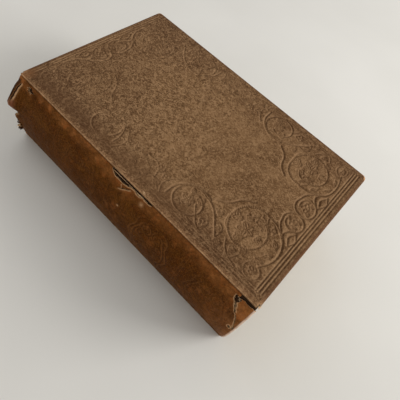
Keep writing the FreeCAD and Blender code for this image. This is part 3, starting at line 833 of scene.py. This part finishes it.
def cover_marks(sheet, crisp, depth, light_facing_flank):
    """What the cover cloth's material reads."""
    x, y = sheet.x, sheet.y
    wear_and_painted_light, bare, dirt_and_painted_shade = cover_wear(sheet)
    return {
        # Painted shade in the grooves and on the flanks turned from the key light; painted highlight on
        # the flanks that face it.
        "painted_groove_shade": np.clip(0.38 * depth - 0.8 * light_facing_flank, 0, 1),
        "lip": np.clip(0.9 * light_facing_flank, 0, 1),
        "crisp": crisp * sheet.on_face,
        "wear_and_painted_light": wear_and_painted_light,
        "bare": bare,
        "dirt_and_painted_shade": dirt_and_painted_shade,
        "shade": cover_shade(x, y, sheet.seed),
        "plain": 0.55 * smoothstep(2, 5, x) * smoothstep(20, 11, x) * smoothstep(45, 80, y),
    }


def cover_faces(sheet):
    """The faces of the sheet to keep: the turn-ins are mitred at the fore corners and end
    short of the joint."""
    x, a, b = on_faces(sheet.x), on_faces(sheet.a), on_faces(sheet.b)
    reach = on_faces(sheet.reach)
    inset_u, inset_v = COVER_WIDTH - x, from_ends(on_faces(sheet.y))
    underneath = reach > sheet.ends[3]
    gone = underneath & (a > 0) & (b != 0) & (on_faces(sheet.out) < 0.2)
    gone |= underneath & (a > 0) & (b == 0) & (inset_u > inset_v)
    gone |= underneath & (a == 0) & (b != 0) & (inset_v > inset_u)
    at_joint = on_faces(sheet.on_joint.astype(float)) > 0.99
    gone |= at_joint & (x < 2.6) & (reach > sheet.ends[0] + 0.3)
    gone |= at_joint & (on_faces(sheet.joint_down) > CASE_THICKNESS - 0.6) & (reach > 0.2)
    return ~gone


def make_cover(side, step, seed):
    """A cover's cloth as one sheet: stamped face, rounded edges, turn-ins and joint bead."""
    front = side == "front"
    sheet = CoverSheet(step, seed)
    crisp, depth, light_facing_flank = cover_stamping(sheet)
    down = cover_down(sheet, depth)
    z = TOP_Z - down if front else down
    points = np.stack([RIDGE_X + sheet.x, sheet.y - HALF_LENGTH, z], -1)
    cloth = grid_object(
        side + "_cover_cloth_stamped", points, [COVER_CLOTH], side + "_cover",
        cover_faces(sheet), cover_marks(sheet, crisp, depth, light_facing_flank), flip=not front,
    )
    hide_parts(side + "_cover_cloth")


def make_joint_core(side):
    """The rolled lining inside the joint bead, seen where the cloth has gone at its ends."""
    front = side == "front"
    centre = np.array([RIDGE_X + BEAD_RADIUS, 0, TOP_Z - BEAD_RADIUS if front else BEAD_RADIUS])
    end = HALF_LENGTH - 0.9
    along = np.linspace(-end, end, 90)
    wander = 0.05 * fbm(along, 0.0, 6.0, 77)
    path = centre + np.stack([wander, along, wander[::-1]], 1)
    taper = 0.25 * smoothstep(HALF_LENGTH - 4, end, np.abs(along))
    vertices, faces = tube(path, BEAD_RADIUS - 0.12 - taper, 14)
    # The core is darkened with painted shade, as it lies in shadow inside the bead.
    core = make_object(side + "_joint_core", vertices, faces, [INLAY], side + "_cover", {"grime_and_painted_shade": 0.2})


make_cover("front", step=0.45, seed=11)
make_joint_core("front")
make_cover("back", step=0.6, seed=41)
make_joint_core("back")
dress(BOARD, "front_board", "back_board")
dress(ENDPAPER, "front_pastedown", "back_pastedown", "front_flyleaf", "back_flyleaf")
dress(TEXT_PAPER, "title_leaf")
dress(LINING, "spine_lining")
dress(MULL, "mull")
dress(TAPE, "sewing_tape_1", "sewing_tape_2", "sewing_tape_3")
dress(THREAD, "sewing_thread")

# --------------------------------------------------------------------------------- spine

CLOTH = 0.4
SPINE_LAYERS = 1.7       # cloth, inlay and turn-in together
CAP_TURN_IN = 11.0
FOLD = SPINE_LAYERS / 2   # radius of the folds at the tail and the head
CARD = 0.8
OPEN_COVER_Z = FRONT_HINGE[2] - BEAD_RADIUS - 0.06     # a front cover laid open is above this


def on_spine(p, q, depth):
    """A point on the round of the back, at a depth under the CAD's outer surface."""
    angle = SPINE_HALF_ANGLE - p / SPINE_RADIUS
    radius = SPINE_RADIUS - depth
    x = SPINE_CENTRE[0] - radius * np.cos(angle)
    z = SPINE_CENTRE[2] + radius * np.sin(angle)
    return np.stack(np.broadcast_arrays(x, q - HALF_LENGTH, z), -1)


def spine_ornament():
    """The faint stamped cartouche of one compartment of the back, for one quarter of it."""
    edge = [(0.0, 17.5), (5.0, 15.8), (10.5, 13.4), (17.5, 12.6), (21.0, 8.0), (21.6, 0.0)]
    strong = [
        scroll([(0.5, 14.0), (6.0, 13.0), (12.5, 10.0)], (13.0, 4.6), 5.4, 1.6, 90, -1.6),
        scroll([(0.5, 3.0), (2.5, 7.5)], (5.6, 9.0), 2.6, 0.9, 200, -1.2),
        curve_through(edge),
    ]
    fine = [*leaf((13.0, 4.6), 2.2, 40, 3), *bud((0.0, 7.0), (0.0, 13.0), 1.6)]
    return Stamp(strong, fine, (24, 20))


SPINE_STAMP = spine_ornament()
COMPARTMENTS = ((75.0, 1.0), (145.0, 0.45), (24.0, 0.5), (196.0, 0.3))      # middle, clearness
SPINE_PANEL = 7.0
SPINE_BANDS = (6.0, 8.0, 47.0, 49.0, 102.0, 118.0, 171.0, 173.0, 212.0, 214.0)


def spine_stamped(p, q):
    """Depth of the worn stamping on the back."""
    from_side = np.minimum(p, SPINE_WIDTH - p)
    depth = 0.45 * groove(from_side - SPINE_PANEL, 0.5) * smoothstep(3, 6, from_ends(q))
    for middle, clearness in COMPARTMENTS:
        inside = np.abs(q - middle) < 20
        shape = SPINE_STAMP(np.abs(p - SPINE_WIDTH / 2), np.minimum(np.abs(q - middle), 19.9))
        depth = np.maximum(depth, 0.8 * clearness * shape * inside)
    inside = smoothstep(SPINE_PANEL - 0.6, SPINE_PANEL + 0.2, from_side)
    for band in SPINE_BANDS:
        depth = np.maximum(depth, 0.28 * groove(q - band, 0.45) * inside)
    return depth * (0.75 + 0.35 * fbm(p, q, 14, 61))


def joint_tear(q):
    """How far the tear along the front joint reaches down the back, at each q."""
    depth = np.interp(
        q, (84.5, 86.5, 91, 92.5, 95, 98, 99.5, 103, 105, 109, 113, 117, 119.5, 121.5),
        (0.0, 0.9, 1.0, 0.5, 1.9, 1.8, 0.8, 1.1, 2.3, 3.1, 3.3, 2.9, 1.5, 0.0),
    )
    return depth + 0.6 * fbm(q, 3.0, 1.8, 83, 3) * smoothstep(0.3, 1.2, depth)


def flap_line(p):
    """The q of the tear that runs on from the joint tear, down into the back."""
    return 104.0 + 1.42 * (p - 4.0) + 0.5 * fbm(p, 2.0, 2.0, 89, 2)


def tail_tear_line(p):
    """The q of the tear across the front corner of the tail."""
    line = np.interp(
        p, (2.0, 5.4, 7.2, 9.2, 12.5, 14.4, 17, 24.7, 27.5, 29.5),
        (14.2, 13.2, 11.2, 10.9, 8.2, 5.8, 5.2, 2.7, 2.4, 3.0),
    )
    return line + 0.8 * fbm(p, 9.0, 2.4, 91, 3)


def tail_gap(p):
    """How wide the tear across the tail corner stands open."""
    places = (2.0, 5.0, 9.0, 12.0, 15.0, 22.0, 27.0, 29.5)
    return np.interp(p, places, (3.0, 3.0, 1.7, 1.3, 0.7, 0.5, 1.5, 0.4))


def cap_slit(p):
    """The q of the split under the head cap, near the front joint."""
    return 215.8 + 0.1 * p + 0.3 * fbm(p, 4.0, 3.0, 93, 2)


def cap_flare(p, q):
    """How far the torn head cap leans out."""
    places = (0.5, 5.0, 10.0, 16.0, 21.5, 25.0, 28.5, 31.0)
    lean = np.interp(p, places, (0.0, 0.6, 1.8, 3.6, 5.6, 5.0, 2.4, 0.0))
    return smoothstep(209.0, 219.5, q) * (lean + 0.8 * bell(p, 38, 4))


def spine_gone(p, q):
    """True where the cloth of the back has gone."""
    gone = (p < joint_tear(q)) & (joint_tear(q) > 0.15)
    gone |= (np.abs(q - flap_line(p)) < 0.4 * smoothstep(9.6, 5.0, p)) & (p > 3.4) & (p < 9.4)
    line = tail_tear_line(p)
    gone |= (q < line) & (q > line - tail_gap(p)) & (p > 2.0) & (p < 29.5)
    gone |= np.hypot((p - 3.6) / 1.9, (q - 11.4) / 2.2) < 1 + 0.45 * fbm(p, q, 1.4, 97, 3)
    gone |= (p < 1.5 + 0.5 * fbm(q, 0.0, 2.0, 99, 3)) & (q < 11.5)
    gone |= np.hypot((p - 3.6) / 2.2, (q - 206.0) / 3.2) < 1 + 0.9 * fbm(p, q, 1.3, 101, 3)
    gone |= np.hypot((p - 27.4) / 1.7, (q - line - 1.2) / 1.1) < 0.9
    gone |= (np.abs(q - cap_slit(p)) < 0.6 * smoothstep(3.0, 6.0, p) * smoothstep(22, 17, p)) & (p > 3.2)
    return gone


def head_edge(p):
    """The q where the torn head cap ends."""
    notches = 4.5 * bell(p, 32.5, 2.2) + 3.6 * bell(p, 45.0, 3.4) + 3.0 * bell(p, 58.0, 2.6)
    return COVER_LENGTH - notches - 1.2 * smoothstep(30, 36, p) + 0.8 * fbm(p, 5.0, 3.0, 103, 3)


def hug_beads(points, p):
    """Slides the cloth's outermost rows in under the beads of the joints, and keeps it clear
    of a cover laid fully open."""
    points[..., 2] = np.clip(points[..., 2], TOP_Z - OPEN_COVER_Z, OPEN_COVER_Z)
    for past, front in ((-p, True), (p - SPINE_WIDTH, False)):
        tucked = past > 0
        height = OPEN_COVER_Z - 0.15 * past[tucked]
        points[tucked, 0] = RIDGE_X + SPINE_CLEARANCE + 1.3 * past[tucked]
        points[tucked, 2] = height if front else TOP_Z - height


def spine_rows():
    """The rows of the back's cloth along q, over the folds at the tail and the head to the
    ends of the turn-ins: each row's q, its depth and its distance along the cloth."""
    turn = np.linspace(0, math.pi, 9)
    round_out, round_down = FOLD * np.sin(turn), FOLD * (1 - np.cos(turn))
    inside = np.array([1.5, 3.5, 6.0, 8.5, CAP_TURN_IN])
    q_end = COVER_LENGTH - FOLD
    middle = np.arange(FOLD, q_end + 0.01, 0.38)[1:-1]
    q_line = np.concatenate([
        FOLD + inside[::-1], FOLD - round_out[::-1], middle, q_end + round_out, q_end - inside,
    ])
    under = np.full(len(inside), SPINE_LAYERS)
    depth = np.concatenate([under, round_down[::-1], np.zeros(len(middle)), round_down, under])
    along = np.cumsum(np.concatenate([[0], np.hypot(np.diff(q_line), np.diff(depth))]))
    return q_line, depth, along - (along[len(inside) + len(turn) - 1] - FOLD)


class SpineSheet:
    """The back's cloth on a grid of points, and the tears that it has at each."""

    def __init__(self):
        hug = np.array([0.1, 0.35, 0.6])
        p_line = np.concatenate([-hug[::-1], np.linspace(0, SPINE_WIDTH, 181), SPINE_WIDTH + hug])
        q_line, depth, along = spine_rows()
        self.p, self.q = np.meshgrid(p_line, q_line, indexing="ij")
        self.depth = np.broadcast_to(depth, self.p.shape)
        self.along = np.broadcast_to(along, self.p.shape)
        self.outside = self.depth < FOLD
        self.joint_tear = joint_tear(self.q)
        self.below_flap = flap_line(self.p) - self.q
        self.tail_line = tail_tear_line(self.p)
        self.tail_gap = tail_gap(self.p)
        self.in_flap = (self.along < self.tail_line - self.tail_gap / 2) & (self.p < 29)


def spine_bulge(sheet):
    """How far the back's cloth stands off its round: wrinkles, lips of the tears, lifted flap
    at the tail and leaning head cap."""
    p, q, line, below = sheet.p, sheet.q, sheet.tail_line, sheet.below_flap
    wrinkle = 0.22 * fbm(p * 0.55, q, 13, 71) + 0.1 * fbm(p, q * 0.5, 3.2, 73, 3)
    crease = 0.35 * bell(p, 4.5 + 1.2 * fbm(q, 0.0, 20, 75), 1.1)
    lip = 0.7 * bell(p, sheet.joint_tear + 0.5, 1.2) * (sheet.joint_tear > 0.3)
    tucked = -0.25 * smoothstep(1.6, 0.0, p) - 0.25 * smoothstep(SPINE_WIDTH - 1.6, SPINE_WIDTH, p)
    side_lip = 1.1 * bell(below, 0.4, 2.4) * (below > 0) * smoothstep(12, 7, p) * (p > 3)
    lifted = (0.3 + 1.1 * bell(p, 6.5, 4.5)) * smoothstep(29, 14, p)
    flap_lift = np.where(sheet.in_flap, lifted, 0.0)
    flap_edge = 0.45 * bell(q, line + 0.7, 0.9) * (p < 29.5)
    bulge = wrinkle * 0.8 + lip + side_lip + flap_lift + flap_edge - crease - tucked
    return np.where(sheet.outside, bulge, 0.25 * bulge) + cap_flare(p, q) * (sheet.along > 200)


def spine_faces(sheet):
    """The faces of the back's cloth to keep."""
    p, q, depth = on_faces(sheet.p), on_faces(sheet.q), on_faces(sheet.depth)
    folded = depth > FOLD * 1.3
    head_fold = FOLD * math.pi / 2 - FOLD
    gone = spine_gone(p, q) & (depth < FOLD * 1.3)
    gone |= on_faces(sheet.along) > head_edge(p) + head_fold - 0.5
    gone |= folded & (p < 1.2)
    gone |= folded & (q < 30) & (p < 16)
    return ~gone


def spine_wear_and_painted_light(sheet, fray):
    """Where the back is lighter, from wear and painted light: along the joint, where the round of the
    back faces upward, at its ends and over the lifted flaps, more towards the tail and less towards the
    head and in the lower middle.
    """
    p, q, below = sheet.p, sheet.q, sheet.below_flap
    # Painted light with the wear: the strip along the joint, where the back turns upward, is made
    # lighter.
    near_top = smoothstep(13, 1, p) * (0.62 + 0.45 * fray)
    near_ends = smoothstep(7, 1, from_ends(q)) * 0.5
    wear_and_painted_light = near_top + near_ends + 0.3 * smoothstep(0.2, 0.6, fray) + 0.22 * smoothstep(60, 15, q)
    less_lightening = 0.3 * smoothstep(120, 190, q) + 0.12 * smoothstep(85, 65, q) * smoothstep(12, 25, q)
    wear_and_painted_light = np.clip(wear_and_painted_light - less_lightening, 0, 1)
    wear_and_painted_light = np.maximum(wear_and_painted_light, 0.95 * sheet.in_flap * smoothstep(20, 12, p))
    return np.maximum(wear_and_painted_light, 0.9 * smoothstep(9, 1, below) * (below > 0) * smoothstep(13, 7, p))


def spine_bare(sheet):
    """Where the back's cloth is bare: two spots, and the fresh edge of each tear."""
    p, q, line, below = sheet.p, sheet.q, sheet.tail_line, sheet.below_flap
    spots = bell(np.hypot(p - 22.2, q - 106.2), 0, 0.75) + 0.7 * bell(np.hypot(p - 5.6, q - 91.6), 0, 1.5)
    curl = np.hypot((p - 27.4) / 1.7, (q - line - 1.2) / 1.1)
    slit = bell(q, cap_slit(p) - 1.0, 0.55) * smoothstep(3, 5, p) * smoothstep(22, 18, p)
    torn = np.maximum.reduce([
        bell(p, sheet.joint_tear + 0.1, 0.42) * (sheet.joint_tear > 0.3),
        bell(below, 0.5, 0.6) * smoothstep(10, 8, p) * (p > 3),
        1.3 * bell(q, line + 0.15, 0.3) * (p < 30) * (p > 2),
        bell(curl, 1.2, 0.25),
        0.8 * bell(q, line - sheet.tail_gap - 0.3, 0.5) * (p < 12) * (p > 2),
        1.2 * slit,
        0.3 * bell(q, head_edge(p) - 0.6, 0.7) * (p > 30),
    ])
    return np.clip(torn + spots, 0, 1)


def spine_marks(sheet, stamp):
    """What the back cloth's material reads."""
    p, q = sheet.p, sheet.q
    fray = fbm(p, q, 5.0, 63)
    light_facing_flank = spine_stamped(p - FLANK[0], q - FLANK[1]) - spine_stamped(p + FLANK[0], q + FLANK[1])
    light_facing_flank = light_facing_flank * sheet.outside
    tail_rim = 1.3 * smoothstep(1.4, 0.6, q) * (0.85 + 0.7 * fray) * sheet.outside
    head_rim = 0.9 * smoothstep(217.9, 218.9, q) * bell(p, 25.0, 4.2)
    return {
        # Painted shade in the stamping and on the flanks turned from the key light; painted highlight on
        # the flanks that face it.
        "painted_groove_shade": np.clip(0.4 * stamp - light_facing_flank, 0, 1),
        "lip": np.clip(light_facing_flank, 0, 1),
        "wear_and_painted_light": spine_wear_and_painted_light(sheet, fray),
        "bare": spine_bare(sheet),
        "red": smoothstep(213.5, 217, q + 0.8 * fray) * smoothstep(17, 20, p) * smoothstep(30, 27, p),
        # Painted shade on the head cap above its slit.
        "grime_and_painted_shade": smoothstep(0.6, 1.4, q - cap_slit(p)) * smoothstep(1, 3, p) * smoothstep(23, 20, p),
        "rim": np.clip(np.maximum(tail_rim, head_rim), 0, 1),
    }


def make_spine_cloth():
    """The cloth of the back with its worn stamping, wrinkles and torn places."""
    sheet = SpineSheet()
    p, q = sheet.p, sheet.q
    stamp = spine_stamped(p, q) * sheet.outside
    points = on_spine(p, q, sheet.depth - spine_bulge(sheet) + 0.28 * stamp)
    past_head = smoothstep(214.0, 219.5, q) * (sheet.along > 200)
    points[..., 1] += 0.8 * past_head * smoothstep(2, 10, p) * smoothstep(31, 22, p)
    hug_beads(points, p)
    cloth = grid_object(
        "spine_cloth_worn", points, [SPINE_CLOTH, TORN_EDGE], "text_block",
        spine_faces(sheet), spine_marks(sheet, stamp), flip=True,
    )
    thicken(cloth, CLOTH)
    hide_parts("spine_cloth")


def thicken(piece, thickness):
    """Gives a sheet its thickness inwards, with the torn rims in its second material."""
    solid = piece.modifiers.new("thickness", "SOLIDIFY")
    solid.thickness = thickness * MM
    solid.offset = -1
    solid.material_offset_rim = 1


def make_inlay():
    """The card in the back, darkened with painted shade where it lies in shadow under torn and lifted
    cloth.
    """
    p_line = np.arange(0.9, SPINE_WIDTH - 0.89, 0.45)
    q_line = np.linspace(0.5, COVER_LENGTH - 0.5, 480)
    p, q = np.meshgrid(p_line, q_line, indexing="ij")
    depth = CLOTH + 0.06 + 1.1 * smoothstep(6.5, 3.0, p) - 0.05 * fbm(p, q, 6.0, 111)
    points = on_spine(p, q, depth - cap_flare(p, q))
    # Painted shade under the joint tear, the tail tear, the hole near the head and the lifted head cap.
    at_joint = smoothstep(1.5, 0.0, p - joint_tear(q)) * smoothstep(82, 86, q) * smoothstep(124, 120, q)
    at_tail = smoothstep(8.5, 6.0, p) * smoothstep(15.5, 13.5, q) * smoothstep(6.5, 8.5, q)
    at_tail = np.maximum(at_tail, smoothstep(3.2, 2.4, p) * smoothstep(14, 12, q))
    at_tail = at_tail * (0.86 + 0.14 * smoothstep(2, 3, p))
    at_head = smoothstep(7.5, 5.5, p) * smoothstep(202, 204, q)
    at_cap = smoothstep(213, 214.5, q) * (1 - 0.3 * smoothstep(17, 20, p))
    grime_and_painted_shade = np.clip(at_joint + at_tail + at_head + at_cap, 0, 1)
    keep = on_faces(q) < head_edge(on_faces(p)) + 0.3
    card = grid_object(
        "spine_inlay_card", points, [INLAY, INLAY], "text_block", keep, {"grime_and_painted_shade": grime_and_painted_shade}, flip=True
    )
    thicken(card, CARD)
    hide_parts("spine_inlay")


# ---------------------------------------------------------------------------- frayed ends


def strand(start, heading, length, radius, rng, droop=0.03, curl=0.16):
    """A short loose fibre that curls as it goes."""
    count = 8
    direction = np.array(heading, float)
    direction /= np.linalg.norm(direction)
    path = [np.array(start, float)]
    bend = rng.normal(0, 0.6 * curl, 3)
    for _ in range(count):
        direction = direction + bend + rng.normal(0, curl, 3) - [0, 0, droop]
        direction /= np.linalg.norm(direction)
        path.append(path[-1] + direction * length / count)
    width = radius * np.linspace(1.0, 0.5, count + 1)
    return tube(path, width, 5)


def fringe(rng, starts, heading, length, radius, *bends):
    """A strand from each start. A part of the heading may be (middle, spread), and the length
    and the radius (least, most)."""
    parts = []
    for start in starts:
        way = [rng.normal(*part) if isinstance(part, tuple) else part for part in heading]
        reach = rng.uniform(*length)
        width = rng.uniform(*radius) if isinstance(radius, tuple) else radius
        parts.append(strand(start, way, reach, width, rng, *bends))
    return parts


def ridge_point(q, turn, out):
    """A point beside the front bead, at an angle around it and a distance off it."""
    angle = math.radians(turn)
    radius = BEAD_RADIUS + out
    x = FRONT_HINGE[0] + radius * math.cos(angle)
    z = FRONT_HINGE[2] + radius * math.sin(angle)
    return np.array([x, q - HALF_LENGTH, z])


def spine_points(rng, count, p_range, q_range, depth):
    """Random points in a patch of the back, each drawn when it is asked for."""
    for _ in range(count):
        yield on_spine(rng.uniform(*p_range), rng.uniform(*q_range), depth)


def tear_strands(rng):
    """Fibres at the tear along the front joint: fringe, runs of warp and the tuft."""
    edge = (
        on_spine(joint_tear(q) + 0.1, q + rng.normal(0, 0.5), 0.1)
        for q in np.linspace(85.5, 120, 56)
    )
    inside = spine_points(rng, 18, (0.9, 1.9), (92, 106), 0.0)
    return [
        *fringe(rng, edge, (-0.5, (0, 0.9), 0.4), (0.4, 1.2), (0.05, 0.09)),
        *fringe(rng, inside, (0, -1, 0), (3.0, 6.5), 0.11, 0.0, 0.03),
        strand(on_spine(0.85, 119.5, -0.1), (0, -1, 0), 20.0, 0.2, rng, 0.0, 0.01),
        strand(on_spine(4.6, 110.4, -0.3), (-0.35, -0.6, -0.75), 2.6, 0.22, rng, 0.0, 0.04),
    ]


def end_strands(rng):
    """Fibres at the tail corner, the head cap and the hole near the head."""
    tail = (on_spine(p, tail_tear_line(p) + 0.2, 0.0) for p in np.linspace(2.5, 28, 34))
    cap_places = np.concatenate([np.linspace(31, 36, 10), np.linspace(40, 61, 26)])
    cap = (on_spine(p, head_edge(p) - 0.6, 0.2) for p in cap_places)
    lock = (on_spine(rng.uniform(41, 48), 214.0, -1.0) for _ in range(4))
    tail_hole = spine_points(rng, 9, (2.0, 5.0), (9, 13.5), 0.0)
    head_hole = spine_points(rng, 16, (2.0, 5.2), (203, 209), 0.1)
    return [
        *fringe(rng, tail, (-0.5, (-0.9, 0.5), 0.2), (0.5, 1.6), (0.05, 0.1)),
        *fringe(rng, tail_hole, (-0.5, (0, 0.9), 0.3), (1.0, 2.2), 0.09),
        *fringe(rng, cap, (-0.5, (1.0, 0.4), (0, 0.5)), (0.7, 2.0), (0.05, 0.1)),
        *fringe(rng, lock, (-1.0, (0.6, 0.3), -0.3), (2.0, 3.4), 0.3, 0.05, 0.3),
        *fringe(rng, head_hole, (-0.5, (0, 0.9), 0.3), (0.8, 1.8), 0.09),
    ]


def ridge_strands(rng):
    """Fibres that stay with the cover: a tuft at the tear and the frayed end of the bead."""
    tuft = (ridge_point(rng.uniform(93, 96), rng.uniform(100, 150), -0.1) for _ in range(7))
    end = (ridge_point(rng.uniform(0.2, 1.2), rng.uniform(40, 150), -0.15) for _ in range(18))
    return [
        *fringe(rng, tuft, (0.3, (0.4, 0.3), 0.9), (1.2, 2.2), 0.1),
        *fringe(rng, end, ((0.4, 0.8), -1.0, (0, 0.4)), (0.7, 1.8), 0.08),
    ]


def make_scraps():
    """Dark curled scraps of cloth that hang from the torn head cap."""
    rng = np.random.default_rng(12)
    places = (41.0, 43.5, 46.5, 49.0, 51.5, 54.0, 57.5)
    starts = (on_spine(p, head_edge(p) - 1.2, 0.3) for p in places)
    parts = fringe(rng, starts, (-1.0, (1.0, 0.3), (-0.2, 0.3)), (2.8, 4.2), (1.0, 1.6), 0.1, 0.6)
    vertices, faces = join_parts(parts)
    scraps = make_object("head_scraps", vertices, faces, [SPINE_CLOTH], "text_block", {"grime_and_painted_shade": 0.7})


def make_frays():
    """Loose threads at the torn joint, the head cap and the tail corner."""
    rng = np.random.default_rng(5)
    for name, parts, body in (
        ("loose_fibres", tear_strands(rng) + end_strands(rng), "text_block"),
        ("joint_fibres", ridge_strands(rng), "front_cover"),
    ):
        vertices, faces = join_parts(parts)
        if body == "text_block":
            vertices[:, 2] = np.minimum(vertices[:, 2], OPEN_COVER_Z)
        frays = make_object(name, vertices, faces, [FRAY], body)


# ------------------------------------------------------------------------------ text block

LEAF_LAYERS = 7


def bundle_outline(low, high, back, shift, jitter, z):
    """The outline of a bundle of leaves, from its fold round its slightly uneven edges."""
    t = np.linspace(0, 1, 26)
    fore = high[0] - 0.12 + shift[0] + jitter[0] + 0.16 * fbm(t * 200, z * 2.2, 40, 131)
    side = 0.1 * fbm(t * 130, z * 2.2, 30, 137)
    y_low = low[1] + 0.1 + shift[1] + jitter[1] + side
    y_high = high[1] - 0.1 + shift[1] + jitter[2] + side
    run_x = back + (fore[0] - back) * t
    tail_line = np.stack([run_x, y_low], 1)
    fore_line = np.stack([fore, y_low[-1] + (y_high[-1] - y_low[-1]) * t], 1)[1:-1]
    head_line = np.stack([run_x, y_high], 1)[::-1]
    return np.vstack([tail_line, fore_line, head_line])


def make_section(node, number):
    """A sewn section as a stack of thin bundles of leaves."""
    low, high = box_mm(node)
    rng = np.random.default_rng(500 + number)
    thickness = high[2] - low[2]
    fold = thickness / 2
    layer = thickness / LEAF_LAYERS
    parts = []
    shift = rng.normal(0, 0.05, 2)
    for k in range(LEAF_LAYERS):
        rise = (k + 0.5) * layer
        z = low[2] + rise
        back = low[0] + fold - math.sqrt(max(fold**2 - (rise - fold)**2, 0.0))
        outline = bundle_outline(low, high, back, shift, rng.normal(0, 0.055, 3), z)
        count = len(outline)
        half = layer * rng.uniform(0.36, 0.47)
        sag = 0.12 * layer * fbm(outline[:, 0], outline[:, 1], 25, 139 + k)
        upper = np.column_stack([outline, z + half + sag])
        lower = np.column_stack([outline, z - half + sag])
        faces = [(i, (i + 1) % count, (i + 1) % count + count, i + count) for i in range(count)]
        faces.append(tuple(range(count, 2 * count)))
        faces.append(tuple(range(count))[::-1])
        parts.append((np.vstack([lower, upper]), faces))
    vertices, faces = join_parts(parts)
    block = make_object(node + "_leaves", vertices, faces, [TEXT_PAPER], "text_block", smooth=False)
    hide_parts(node)


def make_band(node):
    """A headband: silk wound over a cord in stripes, round the ends of the folds."""
    low, high = box_mm(node)
    radius = (high[1] - low[1]) / 2
    y = (high[1] + low[1]) / 2
    arc = SPINE_CENTRE[0] - low[0] - radius
    reach = math.asin((high[2] - low[2] - 2 * radius) / 2 / arc)
    turn = np.linspace(-reach, reach, 420)
    windings = arc * turn / 0.42
    swell = radius * (0.93 + 0.07 * np.abs(np.sin(math.pi * windings)))
    x, z = SPINE_CENTRE[0] - arc * np.cos(turn), SPINE_CENTRE[2] + arc * np.sin(turn)
    path = np.stack([x, np.full_like(turn, y), z], 1)
    sides = 18
    vertices, faces = tube(path, swell, sides)
    stripe = np.repeat(0.5 + 0.5 * np.sign(np.sin(math.pi * windings / 4)), sides)
    band = make_object(node + "_silk", vertices, faces, [BAND], "text_block", {"stripe": stripe})
    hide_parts(node)


make_spine_cloth()
make_inlay()
make_frays()
make_scraps()
for index, name in enumerate(sorted(n for n in NODES if n.startswith("section_"))):
    make_section(name, index)
make_band("headband")
make_band("tailband")

# -------------------------------------------------------------------- stage, light, camera


def make_floor():
    """A plain pale floor."""
    s = Shader("floor")
    tone = s.noise(180, 3, 0.5)
    s.colour = s.ramp(tone, (0.3, (0.68, 0.675, 0.645)), (0.7, (0.73, 0.725, 0.695)))
    material = s.finish(0.9, s.bump(s.noise(1.5, 3, 0.6), 0.05, 0.4), Specular_IOR_Level=0.2)
    mesh = bpy.data.meshes.new("floor")
    size = 3.0
    corners = [(-size, -size), (size, -size), (size, size), (-size, size)]
    mesh.from_pydata([(x, y, -CLOTH_LIFT * MM) for x, y in corners], [], [(0, 1, 2, 3)])
    mesh.materials.append(material)
    floor = bpy.data.objects.new("floor", mesh)
    bpy.context.scene.collection.objects.link(floor)


BOOK_MIDDLE = Vector((0, 0, 0.04))


def area_light(name, location, size, power, colour):
    """A soft square light that faces the middle of the book."""
    data = bpy.data.lights.new(name, "AREA")
    data.size = size
    data.energy = power
    data.color = colour
    light = bpy.data.objects.new(name, data)
    light.location = location
    aim = BOOK_MIDDLE - Vector(location)
    light.rotation_mode = "QUATERNION"
    light.rotation_quaternion = aim.to_track_quat("-Z", "Y")
    bpy.context.scene.collection.objects.link(light)


def make_world(strength):
    """Even pale light from all around."""
    world = bpy.data.worlds.new("studio")
    world.use_nodes = True
    background = world.node_tree.nodes["Background"]
    background.inputs["Color"].default_value = (1.0, 0.965, 0.92, 1)
    background.inputs["Strength"].default_value = strength
    bpy.context.scene.world = world


CAMERA_PLACE = Vector((-0.18773, -0.0866, 0.28352))
CAMERA_AZIMUTH = 27.081      # degrees from +X towards +Y
CAMERA_DIP = 52.454          # degrees below the horizon
CAMERA_ROLL = 21.117
FOCAL_WIDTHS = 1.0441        # focal length in image widths
CAMERA_SHIFT = (0.0795, -0.0866)
SENSOR = 36.0


def make_camera():
    """The camera, held over the spine side and rolled."""
    data = bpy.data.cameras.new("camera")
    data.sensor_width = SENSOR
    data.lens = FOCAL_WIDTHS * SENSOR
    data.shift_x, data.shift_y = CAMERA_SHIFT
    data.clip_start = 0.01
    camera = bpy.data.objects.new("camera", data)
    azimuth, dip = math.radians(CAMERA_AZIMUTH), math.radians(CAMERA_DIP)
    look = Vector((
        math.cos(dip) * math.cos(azimuth), math.cos(dip) * math.sin(azimuth), -math.sin(dip),
    ))
    camera.location = CAMERA_PLACE
    camera.rotation_mode = "QUATERNION"
    roll = Quaternion((0, 0, 1), math.radians(CAMERA_ROLL))
    camera.rotation_quaternion = look.to_track_quat("-Z", "Y") @ roll
    bpy.context.scene.collection.objects.link(camera)
    bpy.context.scene.camera = camera


make_floor()
area_light("key", (0.61, -0.86, 0.59), 0.62, 9.3, (1.0, 0.98, 0.95))
area_light("fill", (0.3, 0.9, 1.1), 1.4, 3.6, (0.95, 0.97, 1.0))
make_world(0.56)
make_camera()
bpy.context.scene.view_settings.view_transform = "Standard"
